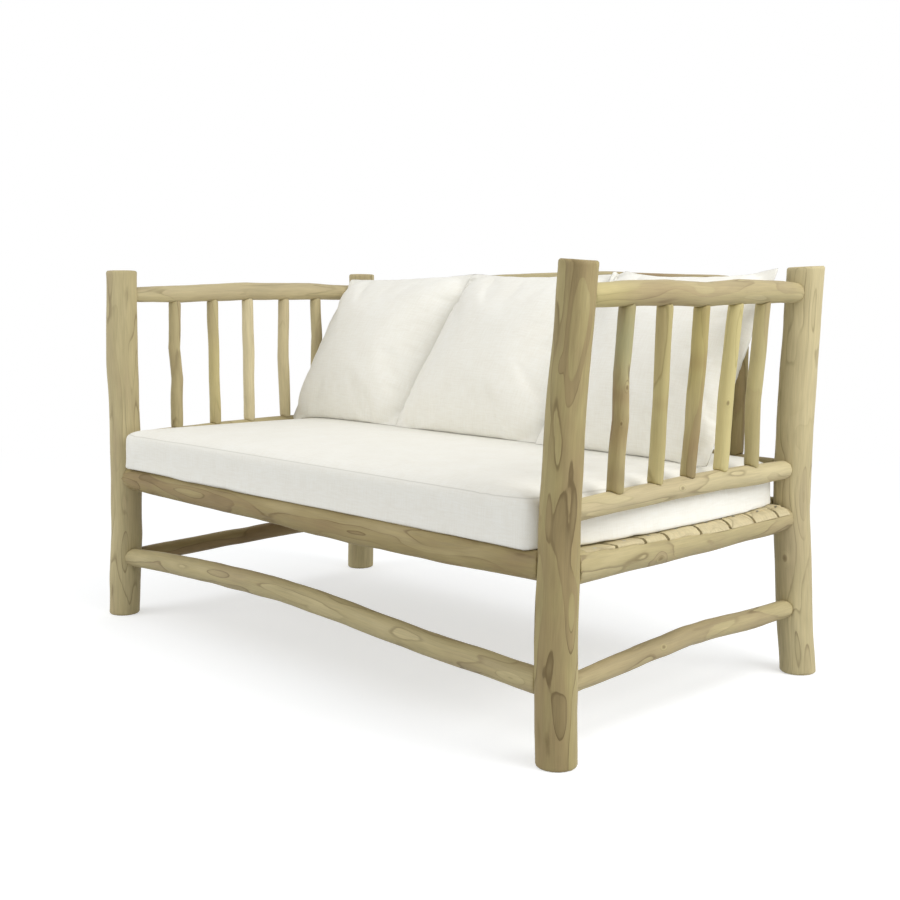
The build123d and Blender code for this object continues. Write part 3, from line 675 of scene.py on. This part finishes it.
# Turned stainless steel: grey, softly glossy, a little uneven from the tool
steel, tree = new_material("turned_stainless_steel")
place = add_node(tree, "TexCoord").outputs["Object"]
turning = add_node(tree, "TexNoise", {"Vector": place, "Scale": 1 / (TURNING_MM * MM), "Detail": 2.0})
rough = add_node(tree, "ValToRGB", {0: turning}, ((0.3, 0.28), (0.7, 0.42)))
tint = add_node(tree, "ValToRGB", {0: turning}, ((0.3, colour("B9B7B2")), (0.7, colour("CFCDC8"))))
turned = add_node(tree, "BsdfPrincipled", {"Base Color": tint, "Roughness": rough, "Metallic": 1.0})
add_node(tree, "OutputMaterial", {"Surface": turned})

screws = new_piece("deck_screws_flush", merged_copy("deck_screws"), "frame", "steel", steel, "deck_screws")
bm = bmesh.new()
bm.from_mesh(screws.data)
unseen = set(bm.verts)
screw_count = 0
while unseen:
    screw = [unseen.pop()]
    for vertex in screw:
        for edge in vertex.link_edges:
            other = edge.other_vert(vertex)
            if other in unseen:
                unseen.discard(other)
                screw.append(other)
    head = sum((vertex.co for vertex in screw), Vector()) / len(screw)
    head.z = max(vertex.co.z for vertex in screw)
    shift = crooked(head) - head
    bmesh.ops.translate(bm, verts=screw, vec=shift)
    screw_count += 1
bm.to_mesh(screws.data)
bm.free()
print(screw_count, "screws")

# %% [markdown]
# The covers are heavy off-white cotton canvas in plain weave. Each cushion carries its own cloth
# coordinates in metres, so the threads follow the panels. Real threads are about 0.6 mm apart, too
# fine for a pixel, so they are drawn coarser and faint. Slubs, thicker bits of thread, run both ways.
# A seam is a thin valley where the seam attribute is zero. Its dark line is painted shade in the
# crease, and a faint bump gives the groove. Cotton is matte, with a faint sheen.

# %% Canvas
THREAD_MM = 1.6
SLUB_MM = 2.4
SLUB_LENGTH = 12.0
CLOUD_MM = 70.0
SEAM_HALF_MM = 1.1
SEAM_SHADE = 0.30
CLOUD_SHARE = 0.25
SLUB_SHARE = 0.375
WEAVE_HEIGHT = 0.4
SEAM_DEPTH = 2.0

# Cotton canvas, woven and washed: off-white, uneven threads, dull with a faint fluffy sheen
canvas, tree = new_material("cotton_canvas_plain_weave")
cloth_place = add_node(tree, "Attribute", attribute_name="cloth").outputs["Vector"]
seam = add_node(tree, "Attribute", attribute_name="seam").outputs["Fac"]
axes = add_node(tree, "SeparateXYZ", {0: cloth_place})
waves = []
slubs = []
half_turns = math.pi / (THREAD_MM * MM)
for axis, stretch in (("X", (1 / SLUB_LENGTH, 1, 1)), ("Y", (1, 1 / SLUB_LENGTH, 1))):
    turns = add_node(tree, "Math", {0: axes.outputs[axis], 1: half_turns}, operation="MULTIPLY")
    waves.append(add_node(tree, "Math", {0: turns}, operation="SINE"))
    place = add_node(tree, "VectorMath", {0: cloth_place, 1: stretch}, operation="MULTIPLY")
    slubs.append(add_node(tree, "TexNoise", {"Vector": place, "Scale": 1 / (SLUB_MM * MM), "Detail": 2.0}))
weave = add_node(tree, "Math", {0: waves[0], 1: waves[1]}, operation="MULTIPLY")
threads = add_node(tree, "Math", {0: slubs[0], 1: slubs[1]}, operation="ADD")
clouds = add_node(tree, "TexNoise", {"Vector": cloth_place, "Scale": 1 / (CLOUD_MM * MM), "Detail": 2.0})
shade = add_node(tree, "Math", {0: threads, 1: SLUB_SHARE}, operation="MULTIPLY")
shade = add_node(tree, "Math", {0: clouds, 1: CLOUD_SHARE, 2: shade}, operation="MULTIPLY_ADD")
cotton_tones = ((0.36, colour("ECE9DF")), (0.50, colour("F0EEE5")), (0.64, colour("F3F2EB")))
cotton = add_node(tree, "ValToRGB", {0: shade}, cotton_tones)
gaps = add_node(tree, "ValToRGB", {0: weave}, ((0.0, 0.97), (0.5, 1.0)))
woven = {"Factor": 1.0, "A": cotton, "B": gaps}
cotton = add_node(tree, "Mix", woven, data_type="RGBA", blend_type="MULTIPLY")
# Painted shade: the cotton turns grey brown in a thin line along each seam, where its crease lies in shade
seam_part = add_node(tree, "Math", {0: seam}, operation="ABSOLUTE")
seam_part = add_node(tree, "Math", {0: seam_part, 1: SEAM_HALF_MM * MM}, operation="DIVIDE")
seam_shade_and_groove = add_node(tree, "ValToRGB", {0: seam_part}, ((0.0, 1.0), (0.45, 0.6), (1.0, 0.0)))
share = add_node(tree, "Math", {0: seam_shade_and_groove, 1: SEAM_SHADE}, operation="MULTIPLY")
cotton = add_node(tree, "Mix", {"Factor": share, "A": cotton, "B": colour("8E8878")}, data_type="RGBA")
relief = add_node(tree, "Math", {0: weave, 1: WEAVE_HEIGHT, 2: threads}, operation="MULTIPLY_ADD")
relief = add_node(tree, "Math", {0: seam_shade_and_groove, 1: -SEAM_DEPTH, 2: relief}, operation="MULTIPLY_ADD")
bump = add_node(tree, "Bump", {"Height": relief, "Strength": 0.22, "Distance": 0.4 * MM})
cloth = {"Base Color": cotton, "Normal": bump, "Roughness": 0.9, "IOR": 1.5, "Specular IOR Level": 0.2}
cloth.update({"Sheen Weight": 0.12, "Sheen Roughness": 0.5})
add_node(tree, "OutputMaterial", {"Surface": add_node(tree, "BsdfPrincipled", cloth)})
print("canvas has", len(tree.nodes), "nodes")

# %% [markdown]
# Stuffed covers are best made by blowing them up: cloth under pressure finds its own creases. The
# simulation runs for twenty frames without gravity. No point may move further than a cap, a few
# millimetres on the seat and two centimetres on the back cushions, because the real filling is heavier
# than air. Afterwards the cloth is pushed out of whatever wood or cushion it touches, which leaves the
# dents of leaning on a rail.

# %% Blowing up and keeping clear
CLOTH_FRAMES = 20
TOUCH_MM = 0.8
SEARCH_MM = 26.0


def blow_up(piece, pressure, cap_mm, extra_cloth, sewn=None):
    """Points of the piece as cloth under pressure, capped, with some more cloth than the form needs."""
    start = points_of(piece.data)
    settings = piece.modifiers.new("cloth", "CLOTH").settings
    settings.quality = 5
    settings.mass = 0.3
    settings.tension_stiffness = 15
    settings.compression_stiffness = 15
    settings.shear_stiffness = 5
    settings.bending_stiffness = 0.4
    settings.use_pressure = True
    settings.uniform_pressure_force = pressure
    settings.shrink_min = -extra_cloth
    settings.effector_weights.gravity = 0
    if sewn is not None:
        piece.vertex_groups.new(name="sewn").add(np.flatnonzero(sewn).tolist(), 1.0, "REPLACE")
        settings.vertex_group_mass = "sewn"
    for number in range(1, CLOTH_FRAMES + 1):
        scene.frame_set(number)
    depsgraph = bpy.context.evaluated_depsgraph_get()
    blown = points_of(piece.evaluated_get(depsgraph).data)
    piece.modifiers.clear()
    piece.vertex_groups.clear()
    scene.frame_set(1)
    move = blown - start
    far = np.linalg.norm(move, axis=1)
    limit = np.minimum(1.0, cap_mm * MM / np.maximum(far, 1e-9))
    print(piece.name, "moved by", round(float(far.max()) / MM, 1), "mm at most, capped at", cap_mm)
    return start + move * limit[:, None]


def keep_clear(points, trees, gap_mm=TOUCH_MM):
    """Moves points that are in or too near a neighbour out to its surface, and counts them."""
    gap = gap_mm * MM
    moved = 0
    for k, point in enumerate(points):
        for neighbour in trees:
            found, normal, _, distance = neighbour.find_nearest(Vector(point), SEARCH_MM * MM)
            if found is None:
                continue
            depth = (Vector(point) - found).dot(normal)
            if depth < 0 or distance < gap:
                points[k] = found + normal * gap
                moved += 1
    return moved


def relaxed(mesh, points, passes, weights):
    """Points averaged with their neighbours, each as strongly as its weight says."""
    pairs = np.zeros(len(mesh.edges) * 2, dtype=np.int32)
    mesh.edges.foreach_get("vertices", pairs)
    first, second = pairs.reshape(-1, 2).T
    count = np.bincount(pairs, minlength=len(points))[:, None]
    for _ in range(passes):
        total = np.zeros_like(points)
        np.add.at(total, first, points[second])
        np.add.at(total, second, points[first])
        points = points + (total / count - points) * (weights[:, None] * 0.5)
    return points


wood_trees = {name: tree_of(log) for name, log in logs.items()}
under_seat = [tree_of(slat) for slat in slats.values()]
under_seat += [tree for name, tree in wood_trees.items() if name.startswith("seat_rail")]
print(len(wood_trees), "search trees")

# %% [markdown]
# The seat cushion is one long foam block in a boxed cover: a top and a bottom panel and a border
# between two seams. The cover is loose, so the border swells, the corners are plump, and shallow
# wrinkles run along the top where people sit down. The solid has its form, so the cover is a fine skin
# over it, blown up a little, with the wrinkles laid on afterwards.
# Its weight keeps the lower seam straight and sharp, so the skin is put back on the solid there. Last,
# the right-hand end of the border swells out under the arm, and the lower edge sags down to the slats
# and rails that carry it.

# %% Seat cushion
SEAT_VOXEL_MM = 7.0
SEAT_SMOOTHING = 2
SNAP_MM = 16.0
SEAT_BORDER_MM = 75.0
LOW_SEAM_MM = 5.0
SEAT_PRESSURE = 3.0
SEAT_CAP_MM = 5.0
SEAT_SLACK = 0.01
FREE_ABOVE_MM = 30.0
UNDERSIDE_PERCENT = 25
BORDER_SHARE = 0.47
SAG_REACH_MM = 36.0
SAG_MOST_MM = 7.0
SAG_EASING = 12
SAG_POWER = 2.4
WOOD_SEARCH_MM = 60.0
SWELL_MM = 26.0
SWELL_FROM = 0.93
SWELL_SHARE = 0.07
SWELL_POWER = 8
WRINKLE_MM = 1.5
WRINKLE_FADE_MM = 6.0
# Each wrinkle: its place along and across the cushion as shares, its length and width in millimetres,
# its slant and its height as a share
WRINKLES = (
    (0.80, 0.10, 420, 15, -0.03, 1.0),
    (0.74, 0.17, 330, 12, -0.02, -0.8),
    (0.83, 0.24, 300, 16, 0.02, 0.9),
    (0.66, 0.06, 260, 10, -0.04, -0.7),
    (0.86, 0.33, 220, 14, 0.05, -0.7),
    (0.40, 0.05, 300, 12, 0.02, 0.5),
    (0.20, 0.09, 220, 12, 0.03, 0.4),
    (0.55, 0.13, 260, 18, 0.01, 0.5),
)


def seat_plane(points):
    """The seat cushion's underside as a plane: its normal, and its height along the normal."""
    low = points[points[:, 2] < np.percentile(points[:, 2], UNDERSIDE_PERCENT)]
    sides = np.column_stack([low[:, 0], low[:, 1], np.ones(len(low))])
    slope_x, slope_y, base = np.linalg.lstsq(sides, low[:, 2], rcond=None)[0]
    normal = np.array([-slope_x, -slope_y, 1.0]) / math.hypot(slope_x, slope_y, 1.0)
    return normal, float(base * normal[2])


def wrinkle_heights(share_x, share_y, size):
    """Heights of all wrinkles at each point, as shares."""
    lift = np.zeros(len(share_x))
    for place_x, place_y, long_mm, wide_mm, slant, rise in WRINKLES:
        along = (share_x - place_x) * size[0] / (long_mm / 2 * MM)
        away = (share_y - place_y - (share_x - place_x) * slant) * size[1] / (wide_mm * MM)
        lift += rise * np.exp(-(along**2) - away**2)
    return lift


def swell(points, share, over):
    """Lets the right-hand border swell out under the arm, most in the middle and at its lower edge."""
    near_end = np.clip((share[:, 0] - SWELL_FROM) / SWELL_SHARE, 0, 1) ** 2
    along = 1 - np.abs(2 * share[:, 1] - 1) ** SWELL_POWER
    up = 1 - np.clip(over / (SEAT_BORDER_MM * MM), 0, 1) ** 2
    points[:, 0] += near_end * along * up * SWELL_MM * MM


def sagged(mesh, points, over, normal, trees):
    """Presses the cushion's lower edge flat, down to the slats and rails that it rests on."""
    reach = SAG_REACH_MM * MM
    shares = np.clip(over / reach, 0, 1)
    drops = np.zeros((len(points), 1))
    for k in np.flatnonzero(over < reach):
        base = Vector(points[k] - normal * over[k])
        gaps = [SAG_MOST_MM * MM]
        for tree in trees:
            found = tree.ray_cast(base + Vector((0, 0, reach)), Vector((0, 0, -1)), WOOD_SEARCH_MM * MM)[0]
            if found is not None:
                gaps.append(base.z - found.z - TOUCH_MM * MM)
        drops[k] = max(min(gaps), 0.0) if len(gaps) > 1 else 0.0
    drops = relaxed(mesh, drops, SAG_EASING, np.ones(len(points)))[:, 0]
    points = points + ((shares**SAG_POWER - shares) * reach)[:, None] * normal
    points[:, 2] -= drops * (1 - shares)
    return points


def make_seat():
    """The cover of the seat cushion."""
    name = "seat_cushion"
    piece = new_piece("seat_cushion_cover", merged_copy(name), name, "canvas", canvas, name)
    solid = tree_of(piece)
    mesh = remeshed(piece, SEAT_VOXEL_MM, SEAT_SMOOTHING)
    start = points_of(mesh)
    normal, base = seat_plane(start)
    over = start @ normal - base
    for k in np.flatnonzero(over < SNAP_MM * MM):
        start[k] = solid.find_nearest(Vector(start[k]))[0]
    place_points(mesh, start)
    low = start.min(0)
    size = start.max(0) - low
    share = (start - low) / size
    blown = blow_up(piece, SEAT_PRESSURE, SEAT_CAP_MM, SEAT_SLACK)
    free = np.clip(over / (FREE_ABOVE_MM * MM), 0, 1)
    points = start + (blown - start) * free[:, None]
    on_top = np.clip((over / MM - SEAT_BORDER_MM) / WRINKLE_FADE_MM, 0, 1)
    lift = wrinkle_heights(share[:, 0], share[:, 1], size) * on_top * WRINKLE_MM * MM
    points += lift[:, None] * normal
    swell(points, share, over)
    points = sagged(mesh, points, over, normal, under_seat)
    far_off = ("stretcher", "arm_top", "back_top")
    walls = [tree for key, tree in wood_trees.items() if not key.startswith(far_off)]
    print("points of the seat cushion pushed clear:", keep_clear(points, walls))
    place_points(mesh, points)
    seams = (over - SEAT_BORDER_MM * MM) * (over - LOW_SEAM_MM * MM) / (SEAT_BORDER_MM * MM)
    set_attribute(mesh, "seam", seams)
    side = np.abs(share - 0.5)
    border = (over < SEAT_BORDER_MM * MM) & (np.maximum(side[:, 0], side[:, 1]) > BORDER_SHARE)
    round_way = np.where(side[:, 0] > side[:, 1], start[:, 1], start[:, 0])
    cloth_x = np.where(border, round_way, start[:, 0])
    cloth_y = np.where(border, over, start[:, 1])
    set_attribute(mesh, "cloth", np.column_stack([cloth_x, cloth_y, np.zeros(len(points))]))
    return piece


seat = make_seat()
seat_tree = tree_of(seat)
print("seat cushion", len(seat.data.polygons), "faces")

# %% [markdown]
# A back cushion is two square panels sewn together all round and stuffed with fibre. It is thick in
# the middle and has no thickness at the seam, its sides draw in and its corners stand out like ears.
# Two grids of cells make the panels, sewn at the rim by merging their points. The rim follows the
# seam of the frame's own cushion.

# %% Back cushion panels
PANEL_CELLS = 84
RIM_SHARPNESS = 0.75
SEAM_BAND_MM = 1.5
RECLINE = math.radians(29)
FACING = np.array([0, -math.cos(RECLINE), math.sin(RECLINE)])
ACROSS = np.array([1.0, 0, 0])
UPWARD = np.array([0, math.sin(RECLINE), math.cos(RECLINE)])
SEAM_BOW_POWER = 3.2
CORNER_POWER = 14.0
CORNER_SHARE = 0.02
# How far the bottom, right, top and left edge of each cushion is drawn in, in millimetres
DRAWN_IN_MM = {
    "back_cushion_left": (2, 5, 9, 5),
    "back_cushion_middle": (2, 6, 12, 4),
    "back_cushion_right": (2, 8, 26, 4),
}
# How far each of these edges is sewn outside the solid's seam, or inside where negative, because the
# rounding takes it back and because the cushions press on each other
LET_OUT_MM = {
    "back_cushion_left": (10, -6, 3, 26),
    "back_cushion_middle": (10, 7, 3, 20),
    "back_cushion_right": (8, -4, 11, 9),
}


def seam_corners(name):
    """The corners of the solid's seam in the cushion's own plane, the seam's depth, and the plumpness."""
    points = points_of(nodes[name].data)
    depth = points @ FACING
    middle = (depth.max() + depth.min()) / 2
    rim = points[np.abs(depth - middle) < SEAM_BAND_MM * MM]
    flat = np.column_stack([rim @ ACROSS, rim @ UPWARD])
    bottom, right, top, left = np.array(LET_OUT_MM[name]) * MM
    corners = []
    for pick, let_out in (
        ((-1, -1), (-left, -bottom)),
        ((1, -1), (right, -bottom)),
        ((1, 1), (right, top)),
        ((-1, 1), (-left, top)),
    ):
        corners.append(flat[int(np.argmax(flat @ pick))] + let_out)
    return corners, middle, (depth.max() - depth.min()) / 2


def edge_line(start, end, share, drawn_in):
    """Points of a seam between two corners, drawn in to its left-hand side."""
    way = end - start
    inward = np.array([-way[1], way[0]]) / np.linalg.norm(way)
    bow = drawn_in * MM * (1 - np.abs(2 * share - 1) ** SEAM_BOW_POWER)
    return start + share[:, None] * way + bow[:, None] * inward


def panel_places(corners, u, v, drawn_in):
    """Where each point of a panel lies in the cushion's plane, filled in between its four seams."""
    low_left, low_right, top_right, top_left = corners
    bottom, right, top, left = drawn_in
    low_edge = edge_line(low_left, low_right, u, bottom)
    top_edge = edge_line(top_right, top_left, 1 - u, top)
    right_edge = edge_line(low_right, top_right, v, right)
    left_edge = edge_line(top_left, low_left, 1 - v, left)
    u = u[:, None]
    v = v[:, None]
    flat = (1 - u) * (1 - v) * low_left + u * (1 - v) * low_right + u * v * top_right + (1 - u) * v * top_left
    places = (1 - v) * low_edge + v * top_edge + (1 - u) * left_edge + u * right_edge - flat
    corner = np.abs((2 * u - 1) * (2 * v - 1)) ** CORNER_POWER
    return places + (np.mean(corners, axis=0) - places) * corner * CORNER_SHARE


def sewn_panels():
    """Two grids of cells sewn at the rim, and for each vertex its u, v and side."""
    bm = bmesh.new()
    bmesh.ops.create_grid(bm, x_segments=PANEL_CELLS, y_segments=PANEL_CELLS, size=1)
    bmesh.ops.duplicate(bm, geom=bm.faces[:] + bm.edges[:] + bm.verts[:])
    half = len(bm.faces) // 2
    bmesh.ops.reverse_faces(bm, faces=bm.faces[half:])
    rim = 1 - 0.2 / PANEL_CELLS
    for k, vertex in enumerate(bm.verts):
        side = 1 if k < len(bm.verts) // 2 else -1
        vertex.co.z = side if max(abs(vertex.co.x), abs(vertex.co.y)) < rim else 0
    bmesh.ops.remove_doubles(bm, verts=bm.verts, dist=0.1 * MM)
    sharpness = bm.edges.layers.float.new("crease_edge")
    for edge in bm.edges:
        edge[sharpness] = RIM_SHARPNESS if edge.verts[0].co.z == edge.verts[1].co.z == 0 else 0
    mesh = bpy.data.meshes.new("sewn_panels")
    bm.to_mesh(mesh)
    bm.free()
    points = points_of(mesh)
    return mesh, (points[:, 0] + 1) / 2, (points[:, 1] + 1) / 2, points[:, 2]


# %% [markdown]
# The panels puff out to the plumpness of the frame's cushion. The seam stays pinned while they are
# blown up with a little more cloth than they need, which lifts the middle and folds the cloth along
# the seam. Small puckers and a slight wave of the seam follow, as real stuffing pulls at the stitches.

# %% Stuffing and puckers
SHAPE_POWER = 5.0
EDGE_POWER = 3.0
TOP_POWER = 0.52
PLUMP_SHARE = 0.97
THINNEST_MM = 0.8
PILLOW_PRESSURE = 4.0
PILLOW_CAP_MM = 22.0
PILLOW_SLACK = 0.010
PILLOW_EASING = 6
EASED_FROM_MM = 18.0
RIM_EASED = 0.1
MIDDLE_EASED = 0.9
PUCKER_MM = 1.8
PUCKER_WAVE_MM = 17.0
PUCKER_REACH_MM = 20.0
PUCKER_START_MM = 4.0
PUCKER_WANDER = 1.4
WANDER_WAVE_MM = 50.0
PUCKER_STRENGTH = 0.55
STRENGTH_CHANGE = 0.9
STRENGTH_WAVE_MM = 90.0
SEAM_WAVE_MM = 2.4
SEAM_WAVE_LENGTH_MM = 28.0
SEAM_WAVE_REACH_MM = 9.0
SINK_COLUMNS = 12
SINK_MOST_MM = 20.0
LOW_SEAM_SHARE = 0.03
SEEN_FROM_MM = 50.0
SEEN_DOWN_MM = 200.0
SEAM_OVER_SEAT_MM = 5.0
PANELS_APART_MM = 10.0


def wavy(run, wave_mm, seed):
    """Smooth noise along a seam."""
    return np.array([noise.noise(Vector((place / (wave_mm * MM), seed * 7.3, 0.4))) for place in run])


def pucker(points, u, v, side, width, tall, seed):
    """Puckers along the seam and lets the seam wave, and returns the distance to the seam."""
    from_side = np.minimum(u, 1 - u) * width
    from_end = np.minimum(v, 1 - v) * tall
    inward = np.minimum(from_side, from_end)
    run = np.where(from_side < from_end, v * tall + 2 * u, u * width + 2 * v)
    phase = run / (PUCKER_WAVE_MM * MM) + PUCKER_WANDER * wavy(run, WANDER_WAVE_MM, seed)
    strength = PUCKER_STRENGTH + STRENGTH_CHANGE * wavy(run, STRENGTH_WAVE_MM, seed + 10)
    fold = np.sin(phase * 2 * math.pi) * strength * np.exp(-inward / (PUCKER_REACH_MM * MM))
    fold *= side * np.clip(inward / (PUCKER_START_MM * MM), 0, 1) * PUCKER_MM * MM
    near_seam = np.exp(-inward / (SEAM_WAVE_REACH_MM * MM))
    wave = wavy(run, SEAM_WAVE_LENGTH_MM, seed + 20) * near_seam * SEAM_WAVE_MM * MM
    points += (fold + wave)[:, None] * FACING
    return inward


def sink(points, u, v, side):
    """Lets the lower part of a cushion sink onto the seat, column by column."""
    low_part = (v < LOW_SEAM_SHARE) & (side == 0)
    column = np.minimum(u * SINK_COLUMNS, SINK_COLUMNS - 1).astype(int)
    gaps = np.zeros(SINK_COLUMNS)
    for k in range(SINK_COLUMNS):
        heights = [SINK_MOST_MM * MM]
        for index in np.flatnonzero(low_part & (column == k)):
            above = Vector(points[index]) + Vector((0, 0, SEEN_FROM_MM * MM))
            found = seat_tree.ray_cast(above, Vector((0, 0, -1)), SEEN_DOWN_MM * MM)[0]
            if found is not None:
                heights.append(points[index][2] - found.z - SEAM_OVER_SEAT_MM * MM)
        gaps[k] = min(heights)
    gaps = eased(gaps, 1)
    columns = (np.arange(SINK_COLUMNS) + 0.5) / SINK_COLUMNS
    points[:, 2] -= np.clip(np.interp(u, columns, gaps), 0, SINK_MOST_MM * MM) * (1 - v) ** 2
    return [round(float(gap) / MM, 1) for gap in gaps]


def make_pillow(name, seed, others):
    """The cover of one back cushion, clear of the seat, the wood and its neighbours."""
    mesh, u, v, side = sewn_panels()
    corners, middle, plump = seam_corners(name)
    width = np.linalg.norm(corners[1] - corners[0])
    tall = np.linalg.norm(corners[3] - corners[0])
    piece = new_piece(name + "_cover", mesh, name, "canvas", canvas, name)
    flat = panel_places(corners, u, v, DRAWN_IN_MM[name])
    reach = (np.abs(2 * u - 1) ** SHAPE_POWER + np.abs(2 * v - 1) ** SHAPE_POWER) ** (1 / SHAPE_POWER)
    fullness = (1 - np.minimum(reach, 1) ** EDGE_POWER) ** TOP_POWER
    depth = middle + side * np.maximum(fullness * plump * PLUMP_SHARE, THINNEST_MM * MM)
    place_points(mesh, flat[:, :1] * ACROSS + flat[:, 1:] * UPWARD + depth[:, None] * FACING)
    points = blow_up(piece, PILLOW_PRESSURE, PILLOW_CAP_MM, PILLOW_SLACK, side == 0)
    inward = pucker(points, u, v, side, width, tall, seed)
    print(name, "sinks by", sink(points, u, v, side), "mm")
    near = ("back_top", "back_low", "post_back", "arm", "spindle_back")
    walls = [tree for key, tree in wood_trees.items() if key.startswith(near)] + [seat_tree] + others
    print(name, keep_clear(points, walls), "points pushed clear")
    weights = np.where(inward < EASED_FROM_MM * MM, RIM_EASED, MIDDLE_EASED) * (side != 0)
    points = relaxed(mesh, points, PILLOW_EASING, weights)
    keep_clear(points, walls)
    place_points(mesh, points)
    set_attribute(mesh, "seam", inward)
    set_attribute(mesh, "cloth", np.column_stack([u * width, v * tall, side * PANELS_APART_MM * MM]))
    return piece


pillow_trees = []
for seed, name in enumerate(DRAWN_IN_MM):
    pillow = make_pillow(name, seed, pillow_trees)
    rounding = pillow.modifiers.new("rounding", "SUBSURF")
    rounding.levels = 1
    rounding.render_levels = 1
    finished_mesh(pillow)
    pillow_trees.append(tree_of(pillow))
    print(name, len(pillow.data.polygons), "faces")
